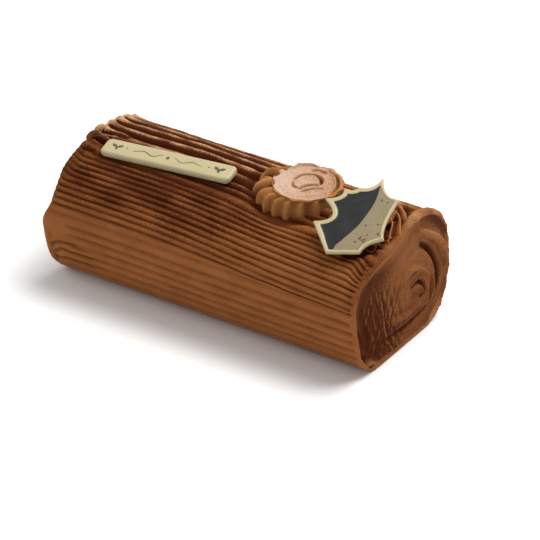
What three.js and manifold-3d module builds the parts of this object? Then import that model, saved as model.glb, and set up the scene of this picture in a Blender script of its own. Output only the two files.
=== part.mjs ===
// A chocolate yule log cake: a Swiss roll coated in buttercream that is combed into bark-like
// ridges, with two piped rosettes on top, and a plaque and a holly leaf of white chocolate.
// Millimetres. X runs along the log, -Y is its front and +Z is up. The origin is the middle of
// the flat underside.
import * as THREE from 'three';
import { mergeVertices } from 'three/addons/utils/BufferGeometryUtils.js';
import Module from 'manifold-3d';

const wasm = await Module();
wasm.setup();

// ---------------------------------------------------------------- driving dimensions
const GAP = 0.3; // clearance left between pieces that touch

const LOG = {
  length: 220,
  height: 85, // over the crests of the ridges
  crownY: 5, // the highest line lies a little behind the middle
  edgeRadius: 2.4, // rounding where the side turns into an end
};
// Each half of the cross-section is two superellipse quarters that meet at the shoulder height.
// The lower quarter would reach "depth" below the shoulder, and the board cuts it off flat.
const FRONT_HALF = { sign: -1, reach: 60, shoulder: 49, depth: 52.5, upper: 2, lower: 3.8, tuck: 0.12 };
const BACK_HALF = { sign: 1, reach: 50, shoulder: 38, depth: 40.5, upper: 2.2, lower: 3, tuck: 0 };
const OUTLINE_STEPS = 900; // straight pieces in each half
const FLOOR = 0.02; // points of the section lower than this lie on the board
const NORMAL_REACH = 1.5; // the section's slope is taken over this distance to both sides

// Grooves drawn by the comb, placed by their distance over the surface from the front foot.
const FOOT_COLUMN = 9; // the first line of the side above the front foot
const SMOOTH_BAND = { first: 25.8, pitch: 6.7, count: 5, depth: 0.8, flank: 1.7 };
const COMB_BAND = { first: 66.2, pitch: 3.85, count: 11, deep: 1.4, shallow: 0.9 };
const ROPE_BAND = {
  first: 112,
  widths: [5, 5.4, 11, 9, 8.2, 8.8, 7.4, 9.1, 7.9, 8.4, 7.6, 9, 8.1, 8.7, 9.2],
  steepness: 0.34, // depth of a groove for its ridge's width
  deepest: 3,
  shoulder: 0.22, // where a ridge's back begins, as a share of its width
  shoulderDepth: 0.25, // and how far down it lies, as a share of the groove's depth
};
const RIGHT_LIP = { from: 104, to: 108 }; // ridges fade out under a smooth lip
const LEFT_LIP = { from: 104, to: 108.6 };

// Local changes: "by" millimetres where both stretches are full, towards the end along "x", and
// over the section between the distances where the change has risen and where it falls again.
// The ridges sink to the right: a little on the smooth band, much more above it.
const LOW_DRIFT = { by: -2.4, x: [-60, 112], rise: [0, 24], fall: [215, 250] };
const HIGH_DRIFT = { by: -5.6, x: [-60, 112], rise: [60, 68], fall: [215, 250] };
const RIGHT_HOOK = { by: -4.5, x: [96, 108], rise: [66, 96], fall: [100, 130] };
const LEFT_TURN = { by: 2, x: [102, 109], rise: [66, 100], fall: [170, 210] };
const FOOT_BULGE = { by: 7, x: [98, 110], rise: [-14, 6], fall: [48, 68] }; // low on the left end
const CORNER_FLARE = { by: 2.8, x: [98, 110], rise: [70, 110], fall: [110, 150] }; // right end
const CORNER_BEVEL = { by: 3.5, x: [103.5, 110], rise: [72, 110], fall: [110, 148] };
const CROWN_LIP = { by: 1.7, x: [104, 108], rise: [122, 140], fall: [172, 195] };
const CROWN_SPLAY = { by: 1.3, x: [97, 109], rise: [76, 92], fall: [165, 185] }; // left end

// Distances along X from the middle at which the side is sampled, closer near the ends.
const STATIONS = [0, 16, 32, 48, 64, 80, 92, 100, 104, 106.4];
const EDGE_TURNS = [12, 50, 90]; // degrees round the edge

// The ends are coated too, smoothed into a spiral that is set a little inside the lip.
const END_SWIRL = {
  centreY: 16.5, centreZ: 31.5, turns: 4.2, recess: 1.6, bulge: 2.4, ridge: 0.9,
  edge: 0.12, // share of the way in over which it sinks
  rings: 12, widest: 0.95, spokes: 44,
};
const BASE_COLUMNS = 4;

const LEFT_ROSETTE = {
  base: { x: 35, y: 0.5, rx: 28, ry: 25 },
  top: { x: 41.2, y: 1.6, rx: 21.2, ry: 21.4, z: 91.6, slope: 0 },
  flutes: 16, scoop: 0.078, phase: 0.2, lip: 1.1, swirlTurns: 2.1,
  crowding: 0.25, crowdedAt: -1.2, // flutes stand closer at the front, in radians from +X
};
const RIGHT_ROSETTE = {
  base: { x: 87.5, y: -6, rx: 23.5, ry: 27.5 },
  top: { x: 86.5, y: -4, rx: 17.5, ry: 18.5, z: 89.2, slope: 0.22 },
  flutes: 14, scoop: 0.13, phase: 0.3, lip: 0.2, swirlTurns: 1.8,
  crowding: 0.1, crowdedAt: -0.4,
};
const ROSETTE = {
  foot: 66, groove: 1.5, dome: 0.9, samplesPerFlute: 4, faceRings: 6, widest: 0.9,
  sloped: 4, // behind this distance from its middle the face is level
  rimShare: 0.97, rimScoop: 0.3,
  grooveStart: 0.3, grooveSharpness: 3, // the spiral fades in from the rim
  waves: 3, waviness: 0.025, // its outline isn't quite oval
};
// Rings of a rosette's wall: share of the way from base to top, how deep the scoops are there
// and how far the ring lies below the lip.
const ROSETTE_WALL = [
  { share: 0, scoop: 0.95, below: 10.5 },
  { share: 0.06, scoop: 1, below: 5.8 },
  { share: 0.18, scoop: 1.05, below: 3.4 },
  { share: 0.5, scoop: 1.1, below: 1 },
  { share: 1, scoop: 0.7, below: 0 },
];

const PLAQUE = {
  length: 90, width: 14, thickness: 4.7, corner: 3.2, edge: 0.8,
  at: [-48.6, -13.4, 83.4], // middle of its underside
  yaw: 5.2, tilt: 12, pitch: -1.1, // degrees
};

const LEAF = {
  thickness: 3, edge: 0.7,
  at: [88.56, -41.62, 79.6], // middle of the stalk end, on the upper face
  yaw: 2.2, tilt: 24, roll: 4, // degrees
  // The outline's points are [distance from the stalk end, distance to the left of the midrib].
  stalkLeft: [-1.9, 5.9],
  stalkRight: [5.3, -13],
  // From the stalk round the right side to the tip and back: each spine with the bottom of the
  // curved bay that leads up to it.
  spines: [
    { bay: [13, -12.2], tip: [19, -21.7] },
    { bay: [24, -16.2], tip: [48.3, -16.7] },
    { bay: [45.2, -7.8], tip: [59.4, -0.5] },
    { bay: [49.8, -0.2], tip: [47.8, 9.2] },
    { bay: [43.4, 11.4], tip: [43.6, 17.4] },
    { bay: [37.6, 13.6], tip: [33.2, 24.8] },
    { bay: [22.3, 5.4], tip: [16.1, 23.7] },
    { bay: [7.3, 15], tip: [-1.9, 5.9] },
  ],
  inside: -0.02, // the outline is drawn smaller because the rounded edge adds to it
};
const LEAF_SEAT = { grow: 0.03, height: 30 }; // the room for the leaf in the rosette under it

// The shape that cuts what sits on the log: where it is sampled along X, and how far it goes on.
const ENVELOPE = { along: [104, 106.4, 107.6], beyond: 4, steps: 72 };

const FINISHES = {
  coat: { color: 0x8e4f22, roughness: 0.62 },
  piped: { color: 0x8e4f22, roughness: 0.6 },
  dusted: { color: 0xb0805a, roughness: 0.6 },
  whiteChocolate: { color: 0xc8bb93, roughness: 0.45 },
  printedChocolate: { color: 0xb5a88c, roughness: 0.45 },
};
const BEND_STEPS = 4; // straight pieces in each curve of a flat piece's outline
const MERGE_DISTANCE = 1e-4; // points closer than this are one

// ---------------------------------------------------------------- small helpers
const degrees = THREE.MathUtils.degToRad;
const lerp = THREE.MathUtils.lerp;

function ramp(value, from, to) {
  return THREE.MathUtils.smoothstep(value, from, to);
}

// How large a local change is at a distance along the log and over the section.
function local(change, along, s) {
  return change.by * ramp(along, ...change.x) * ramp(s, ...change.rise) * (1 - ramp(s, ...change.fall));
}

function food(finish) {
  return new THREE.MeshStandardMaterial({ ...finish, metalness: 0 });
}

function geometryOf(points, triangles) {
  const geometry = new THREE.BufferGeometry();
  geometry.setAttribute('position', new THREE.Float32BufferAttribute(points, 3));
  geometry.setIndex(triangles);
  return geometry;
}

function toSolid(geometry) {
  const bare = geometry.clone();
  bare.deleteAttribute('normal');
  bare.deleteAttribute('uv');
  const merged = mergeVertices(bare, MERGE_DISTANCE);
  return new wasm.Manifold(new wasm.Mesh({
    numProp: 3,
    vertProperties: new Float32Array(merged.attributes.position.array),
    triVerts: new Uint32Array(merged.index.array),
  }));
}

function toGeometry(solid) {
  const mesh = solid.getMesh();
  return geometryOf(Array.from(mesh.vertProperties), Array.from(mesh.triVerts));
}

// A closed solid through rings of points that run anticlockwise, seen from where they lead to.
function tubeSolid(rings, firstMiddle, lastMiddle) {
  const count = rings[0].length;
  const points = [...rings.flat(2), ...firstMiddle, ...lastMiddle];
  const firstCentre = rings.length * count;
  const last = firstCentre - count;
  const triangles = [];
  for (let k = 0; k < count; k += 1) {
    const next = (k + 1) % count;
    triangles.push(next, k, firstCentre, last + k, last + next, firstCentre + 1);
    for (let start = 0; start < last; start += count) {
      const upper = start + count;
      triangles.push(start + k, start + next, upper + next, start + k, upper + next, upper + k);
    }
  }
  return toSolid(geometryOf(points, triangles));
}

function namedMesh(name, geometry, material) {
  const flat = geometry.index === null ? geometry : geometry.toNonIndexed();
  flat.computeVertexNormals();
  const mesh = new THREE.Mesh(flat, material);
  mesh.name = name;
  return mesh;
}

// ---------------------------------------------------------------- cross-section of the log
// A point of one half at an angle from straight down (-90 degrees) to straight up (90 degrees).
function halfSectionPoint(half, angle) {
  const across = Math.cos(angle);
  const upward = Math.sin(angle);
  if (upward >= 0) {
    const y = half.reach * across ** (2 / half.upper);
    const z = half.shoulder + (LOG.height - half.shoulder) * upward ** (2 / half.upper);
    return [LOG.crownY + half.sign * y, z];
  }
  const drop = half.depth * (-upward) ** (2 / half.lower);
  const y = half.reach * across ** (2 / half.lower) * (1 - half.tuck * drop / half.shoulder);
  return [LOG.crownY + half.sign * y, half.shoulder - drop];
}

// The outline from the front foot over the crown to the back foot, with running lengths.
function traceOutline(steps) {
  const front = [];
  const back = [];
  for (let k = 0; k <= steps; k += 1) {
    const angle = lerp(-Math.PI / 2, Math.PI / 2, k / steps);
    front.push(halfSectionPoint(FRONT_HALF, angle));
    back.unshift(halfSectionPoint(BACK_HALF, angle));
  }
  const points = [...front, ...back.slice(1)].filter((point) => point[1] > FLOOR);
  points[0][1] = 0;
  points[points.length - 1][1] = 0;
  const lengths = [0];
  for (let k = 1; k < points.length; k += 1) {
    const stride = Math.hypot(points[k][0] - points[k - 1][0], points[k][1] - points[k - 1][1]);
    lengths.push(lengths[k - 1] + stride);
  }
  return { points, lengths, total: lengths[lengths.length - 1] };
}

const OUTLINE = traceOutline(OUTLINE_STEPS);

function outlinePoint(distance) {
  const s = THREE.MathUtils.clamp(distance, 0, OUTLINE.total);
  let low = 0;
  let high = OUTLINE.lengths.length - 1;
  while (high - low > 1) {
    const middle = (low + high) >> 1;
    if (OUTLINE.lengths[middle] <= s) low = middle;
    else high = middle;
  }
  const share = (s - OUTLINE.lengths[low]) / (OUTLINE.lengths[high] - OUTLINE.lengths[low]);
  const [y0, z0] = OUTLINE.points[low];
  const [y1, z1] = OUTLINE.points[high];
  return [lerp(y0, y1, share), lerp(z0, z1, share)];
}

function outlineNormal(distance) {
  const [y0, z0] = outlinePoint(distance - NORMAL_REACH);
  const [y1, z1] = outlinePoint(distance + NORMAL_REACH);
  const length = Math.hypot(y1 - y0, z1 - z0);
  return [-(z1 - z0) / length, (y1 - y0) / length];
}

// How far the coat stands out from the plain section at a place.
function raised(x, s) {
  return local(CROWN_SPLAY, -x, s) + local(CROWN_LIP, x, s) - local(CORNER_BEVEL, x, s);
}

// Where a place lies along X once the ends' corners swell out.
function stretched(x, s) {
  return x + local(CORNER_FLARE, x, s) - local(FOOT_BULGE, -x, s);
}

// The smooth shape over the crests, grown by a margin: what sits on the log is cut by it.
function envelopeSolid(margin) {
  const reach = LOG.length / 2 + ENVELOPE.beyond;
  const rings = [-reach, ...ENVELOPE.along, LOG.length / 2, reach].map((x) => {
    const ring = [];
    for (let k = ENVELOPE.steps; k >= 0; k -= 1) {
      const s = OUTLINE.total * k / ENVELOPE.steps;
      const [y, z] = outlinePoint(s);
      const [ny, nz] = outlineNormal(s);
      const out = margin + raised(Math.max(x, 0), s);
      ring.push([stretched(Math.max(x, 0), s) + Math.min(x, 0), y + ny * out, z + nz * out]);
    }
    return ring;
  });
  const middle = (x) => [x, LOG.crownY, LOG.height / 2];
  return tubeSolid(rings, middle(-reach), middle(reach));
}

// ---------------------------------------------------------------- ridges
// Columns run the length of the log. Each lies at a distance "s" from the front foot and sinks
// "depth" below the crests.
function ridgeColumns() {
  const columns = [{ s: 0, depth: 0 }, { s: FOOT_COLUMN, depth: 0 }];
  for (let k = 0; k < SMOOTH_BAND.count; k += 1) {
    const s = SMOOTH_BAND.first + k * SMOOTH_BAND.pitch;
    columns.push({ s: s - SMOOTH_BAND.flank, depth: 0 });
    columns.push({ s, depth: SMOOTH_BAND.depth });
    columns.push({ s: s + SMOOTH_BAND.flank, depth: 0 });
  }
  columns.push({ s: COMB_BAND.first - COMB_BAND.pitch / 2, depth: 0 });
  for (let k = 0; k < COMB_BAND.count; k += 1) {
    const s = COMB_BAND.first + k * COMB_BAND.pitch;
    columns.push({ s, depth: k % 2 === 0 ? COMB_BAND.deep : COMB_BAND.shallow });
    columns.push({ s: s + COMB_BAND.pitch / 2, depth: 0 });
  }
  let start = ROPE_BAND.first;
  for (const width of ROPE_BAND.widths) {
    const depth = Math.min(ROPE_BAND.deepest, ROPE_BAND.steepness * width);
    const shoulder = ROPE_BAND.shoulder * width;
    columns.push({ s: start, depth });
    columns.push({ s: start + shoulder, depth: ROPE_BAND.shoulderDepth * depth });
    columns.push({ s: start + width / 2, depth: 0 });
    columns.push({ s: start + width - shoulder, depth: ROPE_BAND.shoulderDepth * depth });
    start += width;
  }
  const last = columns[columns.length - 1].s;
  columns.push({ s: (last + OUTLINE.total) / 2, depth: 0 });
  columns.push({ s: OUTLINE.total, depth: 0 });
  return columns;
}

// How far a column is carried along the section at x: the ridges sink to the right, hook down
// at the right end and turn up on the crown at the left end.
function columnShift(s, x) {
  const drift = local(LOW_DRIFT, x, s) + local(HIGH_DRIFT, x, s);
  return drift + local(RIGHT_HOOK, x, s) + local(LEFT_TURN, -x, s);
}

function ridgeStrength(x) {
  const right = 1 - ramp(x, RIGHT_LIP.from, RIGHT_LIP.to);
  const left = 1 - ramp(-x, LEFT_LIP.from, LEFT_LIP.to);
  return right * left;
}

// Stations along X: the side, then the rounded edge down to each end.
function stations() {
  const half = LOG.length / 2;
  const side = STATIONS.flatMap((x) => (x === 0 ? [0] : [-x, x]));
  const list = side.map((x) => ({ x, inset: 0 }));
  for (const turn of EDGE_TURNS) {
    const along = LOG.edgeRadius * (1 - Math.sin(degrees(turn)));
    const inset = LOG.edgeRadius * (1 - Math.cos(degrees(turn)));
    list.push({ x: half - along, inset });
    list.push({ x: along - half, inset });
  }
  return list.sort((a, b) => a.x - b.x);
}

function sidePoint(column, station) {
  const { x, inset } = station;
  if (column.baseY !== undefined) return [x, column.baseY, 0];
  const s = column.s + columnShift(column.s, x);
  const [y, z] = outlinePoint(s);
  const along = stretched(x, s);
  if (z < FLOOR) return [along, y - Math.sign(y) * inset, 0];
  const [ny, nz] = outlineNormal(s);
  const sink = inset + column.depth * ridgeStrength(x) - raised(x, s);
  return [along, y - ny * sink, Math.max(z - nz * sink, 0)];
}

// ---------------------------------------------------------------- coated ends
function swirlHeight(share, turnShare) {
  const phase = share * END_SWIRL.turns - turnShare;
  const crest = 0.5 + 0.5 * Math.cos(2 * Math.PI * phase);
  const edge = ramp(1 - share, 0, END_SWIRL.edge);
  const dome = END_SWIRL.bulge * (1 - share * share);
  return edge * (dome - END_SWIRL.recess + END_SWIRL.ridge * (crest - 0.5));
}

// Closes one end: spokes run from chosen rim columns to the middle of the swirl.
function addEnd(points, triangles, rim, direction) {
  const { rings, spokes: count, widest, centreY, centreZ } = END_SWIRL;
  const spokes = [];
  for (let k = 0; k < count; k += 1) spokes.push(Math.round(k * rim.length / count));
  const addTriangle = (a, b, c) => triangles.push(...(direction > 0 ? [b, a, c] : [a, b, c]));
  const plane = direction * LOG.length / 2;
  const place = (column, share, turnShare) => {
    const rimAt = rim[column] * 3;
    const swell = (points[rimAt] - plane) * share;
    const y = lerp(centreY, points[rimAt + 1], share);
    const z = lerp(centreZ, points[rimAt + 2], share);
    points.push(plane + swell + direction * swirlHeight(share, turnShare), y, z);
    return points.length / 3 - 1;
  };
  let outer = null;
  for (let ring = rings; ring >= 1; ring -= 1) {
    const share = widest * ring / rings;
    const inner = spokes.map((column, k) => place(column, share, direction * k / count));
    for (let k = 0; k < count; k += 1) {
      const next = (k + 1) % count;
      if (outer === null) {
        const stop = next === 0 ? rim.length : spokes[next];
        for (let j = spokes[k]; j < stop; j += 1) {
          addTriangle(rim[j], rim[(j + 1) % rim.length], inner[k]);
        }
        addTriangle(rim[stop % rim.length], inner[next], inner[k]);
      } else {
        addTriangle(outer[k], outer[next], inner[k]);
        addTriangle(outer[next], inner[next], inner[k]);
      }
    }
    outer = inner;
  }
  points.push(plane + direction * swirlHeight(0, 0), centreY, centreZ);
  const centre = points.length / 3 - 1;
  outer.forEach((index, k) => addTriangle(index, outer[(k + 1) % count], centre));
}

function logGeometry() {
  const columns = ridgeColumns();
  const frontFootY = OUTLINE.points[0][0];
  const backFootY = OUTLINE.points[OUTLINE.points.length - 1][0];
  for (let k = 1; k <= BASE_COLUMNS; k += 1) {
    columns.push({ baseY: lerp(backFootY, frontFootY, k / (BASE_COLUMNS + 1)) });
  }
  const along = stations();
  const points = along.flatMap((station) => columns.flatMap((column) => sidePoint(column, station)));
  const triangles = [];
  const count = columns.length;
  for (let i = 0; i + 1 < along.length; i += 1) {
    for (let j = 0; j < count; j += 1) {
      const here = i * count + j;
      const over = i * count + (j + 1) % count;
      triangles.push(here, here + count, over + count, here, over + count, over);
    }
  }
  const rimAt = (i) => columns.map((column, j) => i * count + j);
  addEnd(points, triangles, rimAt(along.length - 1), 1);
  addEnd(points, triangles, rimAt(0), -1);
  return geometryOf(points, triangles);
}

// ---------------------------------------------------------------- rosettes
const CROWDING_ROUNDS = 30; // enough for the angle to settle

// The angle of a sample round a rosette: flutes are crowded together on one side.
function fluteAngle(size, turn) {
  const offset = size.phase - size.crowdedAt;
  let angle = turn;
  for (let round = 0; round < CROWDING_ROUNDS; round += 1) {
    angle = turn - size.crowding * (Math.sin(angle + offset) - Math.sin(offset));
  }
  return angle + size.phase;
}

// The wall is scooped between thin crests, as a star nozzle leaves it. Inside the rim the cream
// winds into a spiral.
function rosetteSolid(size) {
  const { base, top, flutes } = size;
  const around = flutes * ROSETTE.samplesPerFlute;
  const samples = [];
  for (let k = 0; k < around; k += 1) {
    const angle = fluteAngle(size, 2 * Math.PI * (k + ROSETTE.samplesPerFlute / 2) / around);
    const flute = Math.abs(Math.sin(Math.PI * k * flutes / around));
    samples.push({ angle, turnShare: k / around, flute });
  }
  const rimHeight = (y) => top.z + top.slope * Math.min(y - top.y, ROSETTE.sloped);
  const wallRing = (share, scoop, below) => samples.map(({ angle, flute }) => {
    const uneven = 1 + ROSETTE.waviness * Math.sin(ROSETTE.waves * angle);
    const reach = uneven * (1 - scoop * flute);
    const x = lerp(base.x, top.x, share) + lerp(base.rx, top.rx, share) * reach * Math.cos(angle);
    const y = lerp(base.y, top.y, share) + lerp(base.ry, top.ry, share) * reach * Math.sin(angle);
    return [x, y, below === null ? ROSETTE.foot : rimHeight(y) - below];
  });
  const faceRing = (share) => samples.map(({ angle, turnShare }) => {
    const x = top.x + top.rx * share * Math.cos(angle);
    const y = top.y + top.ry * share * Math.sin(angle);
    const wave = Math.max(0, Math.cos(2 * Math.PI * (share * size.swirlTurns + turnShare)));
    const groove = ROSETTE.groove * wave ** ROSETTE.grooveSharpness;
    const dome = ROSETTE.dome * (1 - share * share);
    return [x, y, rimHeight(y) + dome - groove * ramp(1 - share, 0, ROSETTE.grooveStart)];
  });
  const rings = [
    wallRing(0, size.scoop, null),
    ...ROSETTE_WALL.map((ring) => (
      wallRing(ring.share, size.scoop * ring.scoop, ring.below + size.lip))),
    wallRing(ROSETTE.rimShare, size.scoop * ROSETTE.rimScoop, 0),
  ];
  for (let face = ROSETTE.faceRings; face >= 1; face -= 1) {
    rings.push(faceRing(ROSETTE.widest * face / ROSETTE.faceRings));
  }
  return tubeSolid(rings, [base.x, base.y, ROSETTE.foot], [top.x, top.y, top.z + ROSETTE.dome]);
}

// A rosette without its scoops and a little larger, which others stay outside of.
function rosetteRoom(size) {
  const grow = ({ rx, ry, ...rest }) => ({ rx: rx + 2 * GAP, ry: ry + 2 * GAP, ...rest });
  return rosetteSolid({ ...size, base: grow(size.base), top: grow(size.top), scoop: 0 });
}

// ---------------------------------------------------------------- white chocolate pieces
function placement(at, yaw, tilt, lean) {
  const turn = new THREE.Matrix4().makeRotationFromEuler(
    new THREE.Euler(degrees(tilt), degrees(lean), degrees(yaw), 'XYZ'));
  return new THREE.Matrix4().makeTranslation(...at).multiply(turn);
}

function plaqueGeometry() {
  const halfLength = PLAQUE.length / 2 - PLAQUE.edge;
  const halfWidth = PLAQUE.width / 2 - PLAQUE.edge;
  const r = PLAQUE.corner;
  const shape = new THREE.Shape();
  shape.moveTo(-halfLength + r, -halfWidth);
  shape.absarc(halfLength - r, -halfWidth + r, r, -Math.PI / 2, 0);
  shape.absarc(halfLength - r, halfWidth - r, r, 0, Math.PI / 2);
  shape.absarc(-halfLength + r, halfWidth - r, r, Math.PI / 2, Math.PI);
  shape.absarc(-halfLength + r, -halfWidth + r, r, Math.PI, 1.5 * Math.PI);
  const geometry = new THREE.ExtrudeGeometry(shape, {
    depth: PLAQUE.thickness - 2 * PLAQUE.edge,
    bevelThickness: PLAQUE.edge, bevelSize: PLAQUE.edge, bevelSegments: 2, curveSegments: BEND_STEPS,
  });
  return geometry.translate(0, 0, PLAQUE.edge);
}

// Spines joined by curved bays, drawn with the stalk end at the origin and the tip along +Y.
function leafShape(grow) {
  const at = ([along, left]) => [-left * (1 + grow), along * (1 + grow)];
  const shape = new THREE.Shape();
  shape.moveTo(...at(LEAF.stalkLeft));
  shape.lineTo(...at(LEAF.stalkRight));
  for (const spine of LEAF.spines) shape.quadraticCurveTo(...at(spine.bay), ...at(spine.tip));
  return shape;
}

function leafGeometry() {
  const geometry = new THREE.ExtrudeGeometry(leafShape(LEAF.inside), {
    depth: LEAF.thickness - 2 * LEAF.edge,
    bevelThickness: LEAF.edge, bevelSize: LEAF.edge, bevelSegments: 1, curveSegments: BEND_STEPS,
  });
  return geometry.translate(0, 0, LEAF.edge - LEAF.thickness);
}

// The room that the leaf takes in the rosette under it, open upwards.
function leafSeatSolid() {
  const seat = new THREE.ExtrudeGeometry(leafShape(LEAF_SEAT.grow), {
    depth: LEAF_SEAT.height, bevelEnabled: false, curveSegments: BEND_STEPS,
  });
  seat.translate(0, 0, -LEAF.thickness - GAP);
  return toSolid(seat.applyMatrix4(placement(LEAF.at, LEAF.yaw, LEAF.tilt, LEAF.roll)));
}

// ---------------------------------------------------------------- the cake
const envelope = envelopeSolid(GAP);

const group = new THREE.Group();
group.add(namedMesh('log_body', logGeometry(), food(FINISHES.coat)));

const leftRosette = rosetteSolid(LEFT_ROSETTE).subtract(envelope);
group.add(namedMesh('left_rosette', toGeometry(leftRosette), food(FINISHES.dusted)));

const rightRosette = rosetteSolid(RIGHT_ROSETTE)
  .subtract(envelope)
  .subtract(rosetteRoom(LEFT_ROSETTE))
  .subtract(leafSeatSolid());
group.add(namedMesh('right_rosette', toGeometry(rightRosette), food(FINISHES.piped)));

const plaqueAt = placement(PLAQUE.at, PLAQUE.yaw, PLAQUE.tilt, PLAQUE.pitch);
const plaqueSolid = toSolid(plaqueGeometry().applyMatrix4(plaqueAt)).subtract(envelope);
group.add(namedMesh('plaque', toGeometry(plaqueSolid), food(FINISHES.whiteChocolate)));

const leaf = namedMesh('holly_leaf', leafGeometry(), food(FINISHES.printedChocolate));
leaf.applyMatrix4(placement(LEAF.at, LEAF.yaw, LEAF.tilt, LEAF.roll));
group.add(leaf);

export default group;
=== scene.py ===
"""A chocolate yule log cake: the looks of the roll, its piped rosettes, its plaque and its leaf.

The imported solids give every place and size. Shapes are worked out in millimetres in the same
frame, X along the log, -Y its front and +Z up, and turned to metres when a mesh is made.
"""
import logging
import math
from dataclasses import astuple, dataclass, field
from enum import Enum
from typing import Any, Callable, Sequence

import bpy
import numpy as np
from mathutils import Euler, Matrix, Vector
from mathutils.geometry import delaunay_2d_cdt


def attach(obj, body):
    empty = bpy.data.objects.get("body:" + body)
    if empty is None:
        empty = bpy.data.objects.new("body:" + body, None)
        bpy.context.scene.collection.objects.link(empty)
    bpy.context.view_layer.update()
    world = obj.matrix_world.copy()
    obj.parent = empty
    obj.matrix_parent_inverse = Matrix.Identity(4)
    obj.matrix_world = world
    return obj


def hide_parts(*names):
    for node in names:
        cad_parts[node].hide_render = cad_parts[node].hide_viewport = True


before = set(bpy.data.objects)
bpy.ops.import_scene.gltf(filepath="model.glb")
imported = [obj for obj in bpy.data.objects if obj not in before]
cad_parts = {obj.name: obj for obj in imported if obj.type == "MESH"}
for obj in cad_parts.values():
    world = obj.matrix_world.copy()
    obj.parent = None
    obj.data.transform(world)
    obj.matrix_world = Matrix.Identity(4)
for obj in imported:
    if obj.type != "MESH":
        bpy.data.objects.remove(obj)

log = logging.getLogger("yule_log")
MM = 0.001
BODY = "root"
CM2_PER_M2 = 1e4
MIX_BY, MIX_FROM, MIX_TO, MIXED = 0, 6, 7, 2  # a colour mix's sockets, whose names repeat
EDGE_ROWS = (0.06, 0.2, 0.45, 0.8, 1.15)  # rows of points in a rounded edge, in its widths
Array = np.ndarray
Point = tuple[float, float]


# ---------------------------------------------------------------- small helpers
def ramp(value: Any, low: float, high: float) -> Any:
    """A smooth step from 0 at low to 1 at high."""
    t = np.clip((value - low) / (high - low), 0.0, 1.0)
    return t * t * (3.0 - 2.0 * t)


def hump(value: Any, middle: float, reach: float) -> Any:
    """A smooth hill of height 1 at the middle that ends at the reach on both sides."""
    return 1.0 - ramp(np.abs(value - middle), 0.0, reach)


def linear(colour: str) -> tuple[float, float, float, float]:
    """Turns an sRGB colour into the linear one that a shader takes.

    Args:
        colour: The colour as a web code, such as "#875733".

    Returns:
        Linear red, green and blue, and an alpha of 1.
    """
    parts = [int(colour[k:k + 2], 16) / 255.0 for k in (1, 3, 5)]
    curve = [p / 12.92 if p <= 0.04045 else ((p + 0.055) / 1.055) ** 2.4 for p in parts]
    return (curve[0], curve[1], curve[2], 1.0)


def add(tree: bpy.types.NodeTree, kind: str, links: dict | None = None, **settings: Any) -> Any:
    """Adds a node to a tree.

    Args:
        tree: The material or geometry tree.
        kind: The node's type.
        links: What each input, by name or number, gets: an output to link or a plain value.
        settings: The node's own settings.

    Returns:
        The new node.
    """
    node = tree.nodes.new(kind)
    for name, value in settings.items():
        setattr(node, name, value)
    for key, value in (links or {}).items():
        if isinstance(value, bpy.types.NodeSocket):
            tree.links.new(value, node.inputs[key])
        else:
            node.inputs[key].default_value = value
    return node


def empty_material(name: str) -> tuple[bpy.types.Material, bpy.types.NodeTree, Any]:
    """Starts a material that has no shader yet.

    Args:
        name: The material's name.

    Returns:
        The material, its tree and the socket that gives places on the object.
    """
    made = bpy.data.materials.new(name)
    made.use_nodes = True
    tree = made.node_tree
    tree.nodes.clear()
    return made, tree, add(tree, "ShaderNodeTexCoord").outputs["Object"]


def mesh_object(name: str, points_mm: Array, faces: Sequence,
                marks: dict[str, Array] | None = None) -> bpy.types.Object:
    """Makes a smooth mesh object at the origin.

    Args:
        name: The object's name.
        points_mm: Its points, one row each, in millimetres.
        faces: Its faces as rows of point numbers.
        marks: Values for each point, kept as named attributes.

    Returns:
        The object, linked to the scene.
    """
    mesh = bpy.data.meshes.new(name)
    mesh.from_pydata((np.asarray(points_mm) * MM).tolist(), [], [list(f) for f in faces])
    for mark, values in (marks or {}).items():
        values = np.asarray(values, np.float32)
        if values.ndim == 2:
            layer = mesh.attributes.new(mark, "FLOAT_VECTOR", "POINT")
            layer.data.foreach_set("vector", values.ravel())
        else:
            layer = mesh.attributes.new(mark, "FLOAT", "POINT")
            layer.data.foreach_set("value", values)
    mesh.shade_smooth()
    mesh.validate()
    thing = bpy.data.objects.new(name, mesh)
    bpy.context.scene.collection.objects.link(thing)
    return thing


def points_of(mesh: bpy.types.Mesh) -> Array:
    """Reads the points of a mesh.

    Args:
        mesh: The mesh.

    Returns:
        Its points in millimetres, one row each.
    """
    numbers = np.empty(len(mesh.vertices) * 3, np.float32)
    mesh.vertices.foreach_get("co", numbers)
    return numbers.reshape(-1, 3).astype(float) / MM


def move_points(mesh: bpy.types.Mesh, points_mm: Array) -> None:
    """Puts the points of a mesh at new places given in millimetres."""
    mesh.vertices.foreach_set("co", (points_mm * MM).astype(np.float32).ravel())
    mesh.update()


def grown(base: bpy.types.Object, tree: bpy.types.NodeTree, inputs: dict[str, Any],
          name: str) -> bpy.types.Object:
    """Runs a Geometry Nodes tree on an object and keeps the result as a plain mesh.

    Args:
        base: The object that the tree starts from. It is removed.
        tree: The Geometry Nodes tree.
        inputs: The value of each named input.
        name: The name of the result.

    Returns:
        A new object with the tree's mesh and no modifier.
    """
    modifier = base.modifiers.new("shape", "NODES")
    modifier.node_group = tree
    for item in tree.interface.items_tree:
        if item.item_type == "SOCKET" and item.in_out == "INPUT" and item.name in inputs:
            modifier[item.identifier] = inputs[item.name]
    depsgraph = bpy.context.evaluated_depsgraph_get()
    mesh = bpy.data.meshes.new_from_object(
        base.evaluated_get(depsgraph), preserve_all_data_layers=True, depsgraph=depsgraph)
    base.modifiers.remove(modifier)
    bpy.data.objects.remove(base)
    mesh.name = name
    thing = bpy.data.objects.new(name, mesh)
    bpy.context.scene.collection.objects.link(thing)
    return thing


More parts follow.
